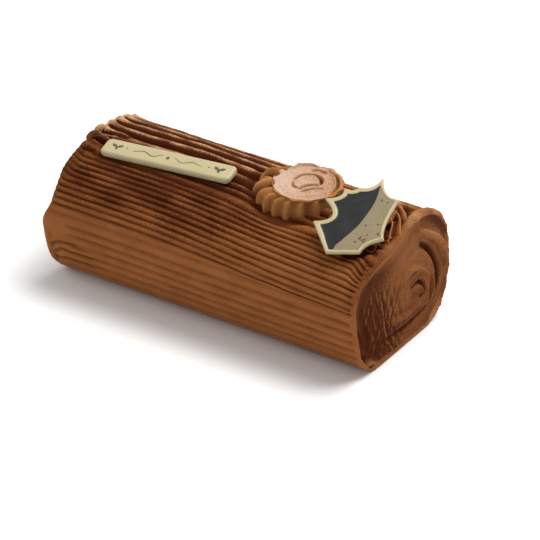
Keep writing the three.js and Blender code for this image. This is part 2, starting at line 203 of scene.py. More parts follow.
def flat(values: Array) -> Array:
    """Rows and columns of numbers or vectors as one list of them."""
    return values.reshape(-1, *values.shape[2:])


def band(lower: Array, upper: Array) -> list[list[int]]:
    """Four-sided faces between rows of rings of points that close on themselves."""
    corners = [lower, upper, np.roll(upper, -1, axis=-1), np.roll(lower, -1, axis=-1)]
    return np.stack(corners, axis=-1).reshape(-1, 4).tolist()


def round_flow(angle: Array, reach: Array, radius: float) -> Array:
    """Places along and across a path that runs in circles, in metres, without a seam.

    Args:
        angle: The angle of each point round the middle, as a row.
        reach: Its distance from the middle, as a column.
        radius: The circle that stands for all of them, which sets how long streaks are.

    Returns:
        A vector for each point: across is its second number, along is the other two.
    """
    around = np.stack([radius * np.cos(angle), 0 * angle, radius * np.sin(angle)], axis=-1)
    across = np.stack([0 * reach, reach, 0 * reach], axis=-1)
    return (around + across) * MM


def smear_scale(long: float, wide: float) -> tuple[float, float, float]:
    """The noise scale that draws streaks of a length and width in millimetres."""
    return (1 / (long * MM), 1 / (wide * MM), 1 / (long * MM))


def smooth_path(stops: Sequence[Point], steps: int = 12) -> Array:
    """A smooth curve through a few points (Catmull-Rom).

    Args:
        stops: The points that the curve passes through.
        steps: How many samples each stretch gets.

    Returns:
        The samples, one row each.
    """
    known = np.asarray(stops, float)
    padded = np.vstack([2 * known[0] - known[1], known, 2 * known[-1] - known[-2]])
    t = np.linspace(0, 1, steps, endpoint=False)[:, None]
    rows = []
    for k in range(1, len(padded) - 2):
        a, b, c, d = padded[k - 1:k + 3]
        rows.append(0.5 * (2 * b + (c - a) * t + (2 * a - 5 * b + 4 * c - d) * t ** 2
                           + (3 * b - a - 3 * c + d) * t ** 3))
    return np.vstack([*rows, known[-1:]])


def distance_to(points: Array, path: Array) -> tuple[Array, Array]:
    """Distance from points in a plane to a path, and the share of the path where it is nearest.

    Args:
        points: Points, one row each.
        path: The path's samples, one row each.

    Returns:
        The distance and the share (0 to 1) for each point.
    """
    best = np.full(len(points), np.inf)
    share = np.zeros(len(points))
    for k in range(len(path) - 1):
        start, along = path[k], path[k + 1] - path[k]
        t = np.clip(((points - start) @ along) / max(along @ along, 1e-12), 0, 1)
        gap = np.linalg.norm(points - start - t[:, None] * along, axis=1)
        nearer = gap < best
        best[nearer] = gap[nearer]
        share[nearer] = (k + t[nearer]) / (len(path) - 1)
    return best, share


@dataclass(frozen=True)
class Scratch:
    """A groove drawn along a smooth path in a plane, deepest in its middle."""

    stops: tuple[Point, ...]
    depth: float  # a negative depth makes a ridge
    width: float  # from its middle to its edge
    lip: float = 0.25  # height of the cream pushed up beside it, as a share of the depth

    def relief(self, points: Array) -> Array:
        """How much the groove lifts (+) or sinks (-) each point.

        Args:
            points: Points of the plane, one row each.

        Returns:
            The height at each point.
        """
        gap, share = distance_to(points, smooth_path(self.stops))
        fade = np.sqrt(np.clip(1.0 - (2.0 * share - 1.0) ** 2, 0.0, 1.0))
        trough = 1.0 - ramp(gap, 0.05 * self.width, self.width)
        bank = hump(gap, 1.35 * self.width, 0.9 * self.width)
        return fade * self.depth * (self.lip * bank - trough)


@dataclass(frozen=True)
class Waves:
    """A smooth seeded unevenness over a surface: a sum of long waves, mostly between -1 and 1."""

    seed: int
    along: tuple[float, float]  # shortest and longest wave along X, mm
    across: tuple[float, float]  # and over the section, mm
    count: int = 9

    def at(self, x: Array, s: Array) -> Array:
        """The height of the waves.

        Args:
            x: Places along the surface.
            s: Places across it.

        Returns:
            The height at each place.
        """
        draw = np.random.default_rng(self.seed)
        total = np.zeros(np.broadcast(x, s).shape)
        for _ in range(self.count):
            kx = 2 * math.pi / draw.uniform(*self.along)
            ks = 2 * math.pi / draw.uniform(*self.across) * draw.choice([-1, 1])
            total += np.sin(kx * x + ks * s + draw.uniform(0, 2 * math.pi))
        return total / math.sqrt(self.count)


# ---------------------------------------------------------------- finishes
@dataclass(frozen=True)
class Buttercream:
    """Whipped chocolate buttercream: soft satin, a little light passing under its surface.

    Fat and air make it even in colour and only faintly shiny. Cocoa powder dulls and reddens it
    where it is dusted, and its hollows are painted deeper brown, as painted shade.
    """

    name: str
    light: str
    dark: str
    # colour of the painted shade in the hollows
    hollow: str
    # colour of cocoa powder; on the coat's right end and right lip it also paints shade
    cocoa: str = "#421b0c"
    # pale colour of icing sugar; on the coat it paints a pale sheen, a painted highlight
    sugar: str = "#c2ab99"
    patch_mm: float = 15.0  # size of the cloudy colour patches
    grain_mm: float = 0.9  # size of the clumps of powder
    smear_mm: tuple[float, float] = (15.0, 2.6)  # streaks along the tool's path, and across it

    def material(self) -> bpy.types.Material:
        """Builds the procedural material.

        Returns:
            The material.
        """
        made, tree, place = empty_material(self.name)
        mark = {name: add(tree, "ShaderNodeAttribute", attribute_name=name)
                for name in ("hollow", "cocoa", "sugar", "smeared", "flow")}
        streaks = add(tree, "ShaderNodeMapping", {
            "Vector": mark["flow"].outputs["Vector"],
            "Scale": smear_scale(*self.smear_mm)})
        patch = add(tree, "ShaderNodeTexNoise", {
            "Vector": place, "Scale": 1 / (self.patch_mm * MM), "Detail": 6.0, "Roughness": 0.6})
        grain = add(tree, "ShaderNodeTexNoise", {
            "Vector": place, "Scale": 1 / (self.grain_mm * MM), "Detail": 2.0, "Roughness": 0.7})
        smear = add(tree, "ShaderNodeTexNoise", {
            "Vector": streaks.outputs["Vector"], "Scale": 1.0, "Detail": 3.0})
        clouds = add(tree, "ShaderNodeMapRange", {
            "Value": patch.outputs["Fac"], "From Min": 0.28, "From Max": 0.72})
        body = add(tree, "ShaderNodeMix", {
            MIX_BY: clouds.outputs["Result"],
            MIX_FROM: linear(self.dark), MIX_TO: linear(self.light)},
            data_type="RGBA")
        streaky = add(tree, "ShaderNodeMapRange", {
            "Value": smear.outputs["Fac"], "From Min": 0.42, "From Max": 0.7, "To Max": 0.5})
        stained = add(tree, "ShaderNodeMath", {
            0: streaky.outputs["Result"], 1: mark["smeared"].outputs["Fac"]},
            operation="MULTIPLY", use_clamp=True)
        # Streak stains and the painted shade of the hollows both mix towards the hollow colour.
        stain_and_shade = add(tree, "ShaderNodeMath", {
            0: stained.outputs[0], 1: mark["hollow"].outputs["Fac"]}, operation="MAXIMUM")
        deep = add(tree, "ShaderNodeMix", {
            MIX_BY: stain_and_shade.outputs[0], MIX_FROM: body.outputs[MIXED], MIX_TO: linear(self.hollow)},
            data_type="RGBA")
        coloured = deep.outputs[MIXED]
        # Cocoa gathers in the grooves and is brushed off the crests.
        settled = add(tree, "ShaderNodeMapRange", {
            "Value": mark["hollow"].outputs["Fac"], "From Max": 0.6, "To Min": 0.65, "To Max": 1.0})
        gathered = add(tree, "ShaderNodeMath", {
            0: mark["cocoa"].outputs["Fac"], 1: settled.outputs["Result"]}, operation="MULTIPLY")
        bare = add(tree, "ShaderNodeMapRange", {
            "Value": mark["hollow"].outputs["Fac"], "From Max": 0.6, "To Min": 1.0, "To Max": 0.0})
        clear = add(tree, "ShaderNodeMath", {
            0: mark["sugar"].outputs["Fac"], 1: bare.outputs["Result"]}, operation="MULTIPLY")
        cover = []
        for amount, tint in ((gathered.outputs[0], self.cocoa),
                             (clear.outputs[0], self.sugar)):
            thresh = add(tree, "ShaderNodeMath", {
                0: grain.outputs["Fac"], 1: amount}, operation="ADD")
            powder = add(tree, "ShaderNodeMapRange", {
                "Value": thresh.outputs[0], "From Min": 0.74, "From Max": 1.2, "To Max": 0.9})
            mixed = add(tree, "ShaderNodeMix", {
                MIX_BY: powder.outputs["Result"], MIX_FROM: coloured, MIX_TO: linear(tint)},
                data_type="RGBA")
            coloured = mixed.outputs[MIXED]
            cover.append(powder.outputs["Result"])
        dull = add(tree, "ShaderNodeMath", {0: cover[0], 1: cover[1]}, operation="ADD")
        rough = add(tree, "ShaderNodeMapRange", {
            "Value": dull.outputs[0], "To Min": 0.6, "To Max": 0.85})
        fine = add(tree, "ShaderNodeMath", {
            0: grain.outputs["Fac"], 1: 0.6, 2: patch.outputs["Fac"]}, operation="MULTIPLY_ADD")
        bump = add(tree, "ShaderNodeBump", {
            "Height": fine.outputs[0], "Strength": 0.5, "Distance": 0.4 * MM})
        shader = add(tree, "ShaderNodeBsdfPrincipled", {
            "Base Color": coloured, "Roughness": rough.outputs["Result"], "IOR": 1.45,
            "Subsurface Weight": 0.15, "Subsurface Radius": (1.0, 0.4, 0.15),
            "Subsurface Scale": 1.6 * MM, "Specular IOR Level": 0.05,
            "Specular Tint": linear("#f0c49a"),
            "Normal": bump.outputs["Normal"]})
        add(tree, "ShaderNodeOutputMaterial", {"Surface": shader.outputs["BSDF"]})
        return made


@dataclass(frozen=True)
class WhiteChocolate:
    """Moulded white chocolate: dense, waxy and a little glossy, ivory where it is thin.

    With marks on the mesh it is also printed: a dark half and a speckled half inside a rim.
    """

    name: str
    body: str
    shade: str
    ink: str = "#0b0b0d"
    oat: str = "#88795b"
    printed: bool = False
    speckle_mm: float = 1.4

    def material(self) -> bpy.types.Material:
        """Builds the procedural material.

        Returns:
            The material.
        """
        made, tree, place = empty_material(self.name)
        cloud = add(tree, "ShaderNodeTexNoise", {
            "Vector": place, "Scale": 1 / (9.0 * MM), "Detail": 3.0})
        fine = add(tree, "ShaderNodeTexNoise", {
            "Vector": place, "Scale": 1 / (self.speckle_mm * MM), "Detail": 2.0})
        body = add(tree, "ShaderNodeMix", {
            MIX_BY: cloud.outputs["Fac"], MIX_FROM: linear(self.shade), MIX_TO: linear(self.body)},
            data_type="RGBA")
        coloured = body.outputs[MIXED]
        if self.printed:
            inside = add(tree, "ShaderNodeAttribute", attribute_name="inside")
            left = add(tree, "ShaderNodeAttribute", attribute_name="left_of_rib")
            grain = add(tree, "ShaderNodeMapRange", {
                "Value": fine.outputs["Fac"], "From Min": 0.62, "From Max": 0.72, "To Max": 0.35})
            oat = add(tree, "ShaderNodeMix", {
                MIX_BY: grain.outputs["Result"],
                MIX_FROM: linear(self.oat), MIX_TO: linear(self.ink)},
                data_type="RGBA")
            half = add(tree, "ShaderNodeMapRange", {
                "Value": left.outputs["Fac"], "From Min": -0.15, "From Max": 0.15})
            fields = add(tree, "ShaderNodeMix", {
                MIX_BY: half.outputs["Result"],
                MIX_FROM: oat.outputs[MIXED], MIX_TO: linear(self.ink)},
                data_type="RGBA")
            edge = add(tree, "ShaderNodeMapRange", {
                "Value": inside.outputs["Fac"],
                "From Min": -0.2, "From Max": 0.2})
            whole = add(tree, "ShaderNodeMix", {
                MIX_BY: edge.outputs["Result"], MIX_FROM: coloured, MIX_TO: fields.outputs[MIXED]},
                data_type="RGBA")
            coloured = whole.outputs[MIXED]
        bump = add(tree, "ShaderNodeBump", {
            "Height": fine.outputs["Fac"], "Strength": 0.2, "Distance": 0.15 * MM})
        shader = add(tree, "ShaderNodeBsdfPrincipled", {
            "Base Color": coloured, "Roughness": 0.42, "IOR": 1.46,
            "Subsurface Weight": 0.12, "Subsurface Radius": (1.0, 0.8, 0.5),
            "Subsurface Scale": 1.5 * MM, "Normal": bump.outputs["Normal"]})
        add(tree, "ShaderNodeOutputMaterial", {"Surface": shader.outputs["BSDF"]})
        return made


@dataclass(frozen=True)
class Powder:
    """A dry powder in small clumps, such as cocoa or icing sugar: quite matt, uneven in tone."""

    name: str
    light: str
    dark: str

    def material(self) -> bpy.types.Material:
        """Builds the procedural material.

        Returns:
            The material.
        """
        made, tree, place = empty_material(self.name)
        tone = add(tree, "ShaderNodeTexNoise", {"Vector": place, "Scale": 1 / (2.5 * MM)})
        mixed = add(tree, "ShaderNodeMix", {
            MIX_BY: tone.outputs["Fac"], MIX_FROM: linear(self.dark), MIX_TO: linear(self.light)},
            data_type="RGBA")
        shader = add(tree, "ShaderNodeBsdfPrincipled", {
            "Base Color": mixed.outputs[MIXED], "Roughness": 0.9, "Specular IOR Level": 0.25})
        add(tree, "ShaderNodeOutputMaterial", {"Surface": shader.outputs["BSDF"]})
        return made


# Each hollow colour below is painted shade. On the coat the sugar colour is a painted highlight: a
# pale sheen on the crown, the right lip, the left curls and the right end's ridges; it also makes
# the right end's raised strands and lower lip paler.
COAT = Buttercream("whipped chocolate buttercream", light="#965d33", dark="#85502a",
                   hollow="#522711", sugar="#cda27a")
# The right rosette's cream is a lighter copy of the chocolate buttercream: painted light that makes
# up for the shade under the leaf.
PIPED_PAINTED_LIGHT = Buttercream("piped chocolate buttercream", light="#bd8050", dark="#a86f40",
                    hollow="#5f3013")
DUSTED = Buttercream("dusted chocolate buttercream", light="#ad7747", dark="#9b6838",
                     hollow="#6e3e20")
IVORY = WhiteChocolate("moulded white chocolate", body="#bbae87", shade="#aba079")
PRINTED = WhiteChocolate("printed white chocolate", body="#bdae85", shade="#ad9e76", printed=True)
INK = Powder("cocoa butter ink", light="#6a6152", dark="#57503f")
COCOA = Powder("cocoa powder", light="#5a2d18", dark="#351608")
ICING_SUGAR = Powder("icing sugar", light="#efe3da", dark="#d9c3b2")


# ---------------------------------------------------------------- Geometry Nodes trees
@dataclass(frozen=True)
class Trees:
    """The Geometry Nodes trees that the pieces share."""

    grooves: bpy.types.NodeTree
    scatter: bpy.types.NodeTree


class Profile(Enum):
    """The form of the relief between two grooves, by whether the grooves are scooped out."""

    ROUND_CREST = False  # a comb leaves round ridges with sharp grooves between them
    SHARP_CREST = True  # a star nozzle leaves round scoops with thin crests between them


def geometry_tree(name: str, inputs: Sequence[tuple[str, str]]) -> tuple[Any, Any, Any]:
    """Starts a Geometry Nodes tree.

    Args:
        name: The tree's name.
        inputs: Name and socket type of each input beside the geometry.

    Returns:
        The tree, its input node and its output node.
    """
    tree = bpy.data.node_groups.new(name, "GeometryNodeTree")
    tree.interface.new_socket("Geometry", in_out="INPUT", socket_type="NodeSocketGeometry")
    for label, kind in inputs:
        tree.interface.new_socket(label, in_out="INPUT", socket_type=kind)
    tree.interface.new_socket("Geometry", in_out="OUTPUT", socket_type="NodeSocketGeometry")
    return tree, add(tree, "NodeGroupInput"), add(tree, "NodeGroupOutput")


def grooves_tree() -> bpy.types.NodeTree:
    """A tree that presses grooves into a smooth surface, along its normals.

    The surface carries "phase", a whole number in each groove, "depth", "held", which is 0
    where the tool was lifted, "lift", a height of its own, "rough", and "flow", the place
    measured along and across the tool's path, which "smeared" streaks follow. Lengths are metres.

    Returns:
        The tree.
    """
    tree, given, result = geometry_tree("pressed grooves", [
        ("Scooped", "NodeSocketBool"), ("Roundness", "NodeSocketFloat"),
        ("Full Depth", "NodeSocketFloat"),
        ("Lump Size", "NodeSocketFloat"), ("Lump Height", "NodeSocketFloat"),
        ("Grain Size", "NodeSocketFloat"), ("Grain Height", "NodeSocketFloat"),
        ("Smear Scale", "NodeSocketVector"), ("Smear Height", "NodeSocketFloat"),
        ("Seed", "NodeSocketFloat"), ("Material", "NodeSocketMaterial")])
    marks = {
        mark: add(tree, "GeometryNodeInputNamedAttribute", {"Name": mark},
                  data_type="FLOAT").outputs["Attribute"]
        for mark in ("phase", "depth", "held", "lift", "rough", "smeared")}
    # t is 0 in the middle of a groove and 1 halfway to the next one.
    near = add(tree, "ShaderNodeMath", {0: marks["phase"], 1: 0.5}, operation="PINGPONG")
    t = add(tree, "ShaderNodeMath", {0: near.outputs[0], 1: 2.0}, operation="MULTIPLY")
    rest = add(tree, "ShaderNodeMath", {0: 1.0, 1: t.outputs[0]}, operation="SUBTRACT")
    # Two profiles of its depth: one round over the crest, the other round in the groove.
    bulges = []
    for source in (rest, t):
        square = add(tree, "ShaderNodeMath", {0: source.outputs[0], 1: 2.0}, operation="POWER")
        under = add(tree, "ShaderNodeMath", {0: 1.0, 1: square.outputs[0]}, operation="SUBTRACT")
        bulges.append(add(tree, "ShaderNodeMath", {
            0: under.outputs[0], 1: given.outputs["Roundness"]}, operation="POWER"))
    combed = add(tree, "ShaderNodeMath", {0: 1.0, 1: bulges[0].outputs[0]}, operation="SUBTRACT")
    profile = add(tree, "GeometryNodeSwitch", {
        "Switch": given.outputs["Scooped"], "False": combed.outputs[0],
        "True": bulges[1].outputs[0]}, input_type="FLOAT")
    hollow = add(tree, "ShaderNodeMath", {
        0: profile.outputs[0], 1: marks["held"]}, operation="MULTIPLY")
    sink = add(tree, "ShaderNodeMath", {
        0: hollow.outputs[0], 1: marks["depth"]}, operation="MULTIPLY")
    height = add(tree, "ShaderNodeMath", {
        0: marks["lift"], 1: sink.outputs[0]}, operation="SUBTRACT").outputs[0]
    # The painted shade of a hollow goes by how far it lies below the smooth surface.
    below = add(tree, "ShaderNodeMath", {
        0: height, 1: given.outputs["Full Depth"]}, operation="DIVIDE")
    shade = add(tree, "ShaderNodeMath", {
        0: below.outputs[0], 1: -1.0}, operation="MULTIPLY", use_clamp=True)
    spot = add(tree, "GeometryNodeInputPosition").outputs[0]
    flow = add(tree, "GeometryNodeInputNamedAttribute", {"Name": "flow"}, data_type="FLOAT_VECTOR")
    streaks = add(tree, "ShaderNodeVectorMath", {
        0: flow.outputs["Attribute"], 1: given.outputs["Smear Scale"]}, operation="MULTIPLY")
    # Lumps, grain and streaks along the tool's path make it uneven.
    scales = [add(tree, "ShaderNodeMath", {0: 1.0, 1: given.outputs[size]},
                  operation="DIVIDE").outputs[0] for size in ("Lump Size", "Grain Size")]
    for where, scale, rise, mark in ((spot, scales[0], "Lump Height", "rough"),
                                     (spot, scales[1], "Grain Height", "rough"),
                                     (streaks.outputs[0], 1.0, "Smear Height", "smeared")):
        noise = add(tree, "ShaderNodeTexNoise", {
            "Vector": where, "W": given.outputs["Seed"], "Scale": scale, "Detail": 2.0,
            "Distortion": 0.15}, noise_dimensions="4D")
        centred = add(tree, "ShaderNodeMath", {
            0: noise.outputs["Fac"], 1: 0.5}, operation="SUBTRACT")
        tall = add(tree, "ShaderNodeMath", {
            0: given.outputs[rise], 1: marks[mark]}, operation="MULTIPLY")
        height = add(tree, "ShaderNodeMath", {
            0: centred.outputs[0], 1: tall.outputs[0], 2: height},
            operation="MULTIPLY_ADD").outputs[0]
    normal = add(tree, "GeometryNodeInputNormal").outputs[0]
    offset = add(tree, "ShaderNodeVectorMath", {0: normal, "Scale": height}, operation="SCALE")
    # Kept as "hollow": the share of the full painted shade at each point.
    kept = add(tree, "GeometryNodeStoreNamedAttribute", {
        "Geometry": given.outputs["Geometry"], "Name": "hollow", "Value": shade.outputs[0]},
        data_type="FLOAT", domain="POINT")
    moved = add(tree, "GeometryNodeSetPosition", {
        "Geometry": kept.outputs[0], "Offset": offset.outputs["Vector"]})
    whole = add(tree, "GeometryNodeRealizeInstances", {"Geometry": moved.outputs[0]})
    dressed = add(tree, "GeometryNodeSetMaterial", {
        "Geometry": whole.outputs[0], "Material": given.outputs["Material"]})
    tree.links.new(dressed.outputs[0], result.inputs[0])
    return tree


def scatter_tree() -> bpy.types.NodeTree:
    """A tree that scatters small grains over a surface, thickest where its mark is highest.

    Returns:
        The tree.
    """
    tree, given, result = geometry_tree("scattered grains", [
        ("Mark", "NodeSocketString"), ("Density", "NodeSocketFloat"),
        ("Smallest", "NodeSocketFloat"), ("Largest", "NodeSocketFloat"),
        ("Seed", "NodeSocketInt"), ("Material", "NodeSocketMaterial")])
    mark = add(tree, "GeometryNodeInputNamedAttribute", {
        "Name": given.outputs["Mark"]}, data_type="FLOAT")
    amount = add(tree, "ShaderNodeMath", {
        0: mark.outputs["Attribute"], 1: given.outputs["Density"]}, operation="MULTIPLY")
    points = add(tree, "GeometryNodeDistributePointsOnFaces", {
        "Mesh": given.outputs["Geometry"], "Density": amount.outputs[0],
        "Seed": given.outputs["Seed"]})
    grain = add(tree, "GeometryNodeMeshIcoSphere", {"Radius": 1.0, "Subdivisions": 1})
    # A random value turns inputs 0 and 1 into a vector, output 0, and 2 and 3 into a number, 1.
    size = add(tree, "FunctionNodeRandomValue", {
        2: given.outputs["Smallest"], 3: given.outputs["Largest"], "Seed": given.outputs["Seed"]},
        data_type="FLOAT")
    squash = add(tree, "FunctionNodeRandomValue", {
        0: (0.7, 0.7, 0.5), 1: (1.2, 1.2, 0.9), "Seed": given.outputs["Seed"]},
        data_type="FLOAT_VECTOR")
    scale = add(tree, "ShaderNodeVectorMath", {
        0: squash.outputs[0], "Scale": size.outputs[1]}, operation="SCALE")
    turn = add(tree, "FunctionNodeRandomValue", {
        0: (0.0, 0.0, 0.0), 1: (math.tau, math.tau, math.tau), "Seed": given.outputs["Seed"]},
        data_type="FLOAT_VECTOR")
    placed = add(tree, "GeometryNodeInstanceOnPoints", {
        "Points": points.outputs["Points"], "Instance": grain.outputs["Mesh"],
        "Rotation": turn.outputs[0], "Scale": scale.outputs["Vector"]})
    whole = add(tree, "GeometryNodeRealizeInstances", {"Geometry": placed.outputs[0]})
    dressed = add(tree, "GeometryNodeSetMaterial", {
        "Geometry": whole.outputs[0], "Material": given.outputs["Material"]})
    tree.links.new(dressed.outputs[0], result.inputs[0])
    return tree


# ---------------------------------------------------------------- the log
@dataclass(frozen=True)
class HalfSection:
    """Half of the log's cross-section: two superellipse quarters that meet at the shoulder."""

    sign: int  # -1 in front of the crown, 1 behind it
    reach: float  # from the crown out to the shoulder
    shoulder: float  # height of the widest place
    depth: float  # how far the lower quarter reaches down
    upper: float  # exponent of the upper quarter: 2 gives an ellipse, more is squarer
    lower: float  # and of the lower quarter
    tuck: float  # how far the foot draws in, as a share of the reach

    def points(self, angles: Array, crown_y: float, height: float) -> Array:
        """Points of the half.

        Args:
            angles: Angles from straight down to straight up.
            crown_y: Where the two halves meet.
            height: The height of the crown.

        Returns:
            The y and z of each point, one row each.
        """
        across, up = np.cos(angles), np.sin(angles)
        rise = np.clip(up, 0, 1) ** (2 / self.upper)
        drop = self.depth * np.clip(-up, 0, 1) ** (2 / self.lower)
        above = self.reach * across ** (2 / self.upper)
        below = (self.reach * across ** (2 / self.lower)
                 * (1 - self.tuck * drop / self.shoulder))
        y = np.where(up >= 0, above, below)
        z = np.where(up >= 0, self.shoulder + (height - self.shoulder) * rise,
                     self.shoulder - drop)
        return np.column_stack([crown_y + self.sign * y, z])


@dataclass
class Section:
    """The log's cross-section, followed from the front foot over the crown to the back foot."""

    height: float = 85.0
    crown_y: float = 5.0
    front: HalfSection = HalfSection(
        sign=-1, reach=60, shoulder=49, depth=52.5, upper=2, lower=3.8, tuck=0.12)
    back: HalfSection = HalfSection(
        sign=1, reach=50, shoulder=38, depth=40.5, upper=2.2, lower=3, tuck=0)
    steps: int = 900
    ground: float = 0.02  # points lower than this are dropped, and the two feet set to 0

    def __post_init__(self) -> None:
        """Traces the outline and its running lengths."""
        angles = np.linspace(-math.pi / 2, math.pi / 2, self.steps)
        front = self.front.points(angles, self.crown_y, self.height)
        back = self.back.points(angles[::-1], self.crown_y, self.height)
        points = np.vstack([front, back[1:]])
        points = points[points[:, 1] > self.ground]
        points[[0, -1], 1] = 0.0
        strides = np.linalg.norm(np.diff(points, axis=0), axis=1)
        self.outline = points
        self.lengths = np.concatenate([[0.0], np.cumsum(strides)])
        self.total = float(self.lengths[-1])

    def at(self, s: Array) -> tuple[Array, Array]:
        """The y and z of the outline at distances over the surface."""
        return (np.interp(s, self.lengths, self.outline[:, 0]),
                np.interp(s, self.lengths, self.outline[:, 1]))

    def normal(self, s: Array, reach: float = 1.5) -> tuple[Array, Array]:
        """The outward direction of the outline.

        Args:
            s: Distances over the surface.
            reach: How far to both sides the outline is looked at.

        Returns:
            The y and z of the direction at each distance.
        """
        y0, z0 = self.at(np.clip(s - reach, 0, self.total))
        y1, z1 = self.at(np.clip(s + reach, 0, self.total))
        length = np.hypot(y1 - y0, z1 - z0)
        return -(z1 - z0) / length, (y1 - y0) / length


class End(Enum):
    """An end of the log, by the way along X that it faces."""

    LEFT = -1
    RIGHT = 1


@dataclass
class Log:
    """The coated roll: combed ridges over its side and a smoothed spiral on each end.

    A place on the side is given by x, from -110 at the left end to 110 at the right, and by its
    distance over the section: 0 at the front foot, 134 on top and 260 at the back foot. That
    distance is u before a ridge is carried along and s afterwards.
    """

    trees: Trees
    section: Section = field(default_factory=Section)
    length: float = 220.0
    edge_radius: tuple[float, float] = (3.0, 1.6)  # left and right end
    edge_steps: int = 7
    foot_bulge: float = 7.0  # how far the left end swells out at its foot
    flare: float = 2.8  # how far the upper front edge of the right end stands out
    bevel: float = 3.5  # and how much lower it is
    # Places of the grooves over the section and their depths, from the front foot on.
    foot_grooves: tuple[float, ...] = (3.0, 9.6, 16.7)
    foot_depths: tuple[float, ...] = (0.0, 0.5, 0.9)
    faint: tuple[float, ...] = (25.8, 32.5, 39.2, 45.9, 52.6)
    faint_depth: float = 1.0
    soft_start: float = 61.0  # last faint groove, above the smooth band
    soft_depth: float = 0.6
    comb_first: float = 66.2
    comb_pitch: float = 3.85
    comb_count: int = 11
    comb_deep: float = 1.4
    comb_shallow: float = 1.2
    rope_first: float = 112.0
    rope_widths: tuple[float, ...] = (
        5.0, 5.4, 11.0, 9.0, 8.2, 8.8, 7.4, 9.1, 7.9, 8.4, 7.6, 9.0, 8.1, 8.7, 9.2)
    rope_depths: tuple[float, ...] = (
        1.9, 2.2, 3.4, 4.3, 4.0, 3.4, 3.6, 3.0, 3.3, 2.9, 3.2, 2.6, 2.8, 3.0, 2.4, 2.2)
    back_depth: float = 0.3  # of the groove between the last rope and the back foot
    overshoot: float = 4.0  # how far past the back foot the last groove would lie
    columns_per_groove: tuple[float, ...] = (0, 0.06, 0.15, 0.27, 0.4, 0.5, 0.6, 0.73, 0.85, 0.94)
    base_columns: int = 30
    swirl_centre: tuple[float, float] = (16.5, 31.5)
    swirl_turns: float = 4.4
    swirl_depth: float = 0.3
    recess: float = 1.5  # how far an end is set in behind its rim
    bulge: float = 2.4  # and how far its middle swells out again
    cap_rings: tuple[int, int] = (26, 66)  # left and right end
    end_zone: float = 20.0  # length at each end where stations stand close
    fine_step: float = 0.85  # between those stations
    stations_between: int = 92
    full_shade_depth: float = 2.2  # of a groove that gets the full painted shade
    # Each mark is its path, its depth, its width and the share of its lip.
    end_marks: tuple[Scratch, ...] = (  # over y and z of the right end
        Scratch(((12.8, 75.5), (26.0, 68.0), (38.2, 58.3), (46.5, 47.2), (50.0, 38.3),
                 (49.5, 31.5)), -3.6, 3.4, 0.0),
        Scratch(((14.0, 73.6), (26.0, 67.6), (37.6, 58.6), (45.5, 47.8), (48.8, 38.8)),
                -1.5, 1.3, 0.0),
        Scratch(((18.5, 63.2), (26.6, 57.0), (33.5, 49.0), (38.6, 39.5), (40.6, 30.8),
                 (40.7, 22.0)), 5.4, 3.0, 0.1),
        Scratch(((18, 81), (32, 76), (43, 66), (50, 54)), 1.8, 5.5, 0.0),
        Scratch(((3.8, 50.5), (11.5, 49.8), (24.7, 42.8), (33.1, 32.9), (35.6, 23.0)),
                -1.5, 2.4, 0.2),
        Scratch(((6.9, 38.1), (14.6, 38.9), (21.3, 34.8), (22.9, 28.6), (17.8, 27.2)),
                2.8, 1.8, 0.5),
        Scratch(((30, 14), (33, 24), (31, 36), (20, 46.5), (4, 46)), 1.3, 1.7, 0.3),
        Scratch(((-19.2, 25.0), (-7.7, 23.0), (5.2, 21.1), (20.6, 22.7)), -1.6, 3.2, 0.2),
        Scratch(((-28, 17), (-8, 14), (14, 13.0), (30, 16)), 1.5, 2.6, 0.2),
        Scratch(((-47, 17.5), (-42.9, 15.3), (-41, 11)), 2.2, 1.7, 0.4),
        Scratch(((-41, 8), (-35.5, 4.6), (-30, 5)), 1.8, 1.5, 0.4),
        Scratch(((-50, 36), (-46, 27), (-45, 19)), 1.6, 1.6, 0.4),
        Scratch(((-42, 38), (-38, 26), (-38, 17)), 1.4, 1.5, 0.5),
        Scratch(((-45, 9.5), (-35, 8), (-17.3, 6.4), (3.3, 4.4), (21.5, 4.1), (34.5, 5.4)),
                -2.0, 3.4, 0.0),
    )
    side_marks: tuple[Scratch, ...] = (  # over x and the section
        # hooks at the left end of the foot, where the comb was turned down
        Scratch(((-80, 36.8), (-90.6, 37.2), (-97.8, 38.7), (-102.5, 38.0), (-105.0, 34.8),
                 (-106.0, 30.7), (-107.0, 22.0)), 1.5, 1.5, 0.35),
        Scratch(((-80, 31.8), (-91.7, 31.9), (-97.7, 32.0), (-101.8, 32.7), (-104.2, 29.4),
                 (-106.6, 20.9)), 1.9, 1.5, 0.35),
        Scratch(((-80, 24.4), (-93.7, 24.5), (-99.4, 25.5), (-103.2, 24.4), (-105.4, 21.6),
                 (-107.2, 15.9)), 2.1, 1.6, 0.35),
        Scratch(((-106.0, 45.0), (-105.7, 38.5), (-106.4, 32.0)), 0.7, 1.3, 0.3),
        # hollows under curled rims on the crown
        Scratch(((-109.0, 114.2), (-106.3, 116.8), (-101.5, 117.2), (-95.0, 116.2)), 4.4, 2.9, 0.5),
        Scratch(((-108.5, 122.6), (-104.5, 126.4), (-97.0, 127.6), (-86.0, 127.9)), 4.0, 2.7, 0.5),
        Scratch(((-107.5, 105.5), (-103.0, 107.0), (-97.0, 106.6)), 2.2, 1.8, 0.5),
        # the coat gives way round the two rosettes
        Scratch(((88, 91), (99, 98), (103.0, 109), (104.0, 120), (103.5, 133), (100.5, 146),
                 (92, 155)), 3.4, 5.0, 0.0),
        Scratch(((2, 138), (8.0, 120), (20, 108), (33, 101.5), (46, 102), (58, 110), (66, 124)),
                1.8, 5.0, 0.0),
    )
    mean_reach: float = 45.0  # from the swirl's centre to the rim

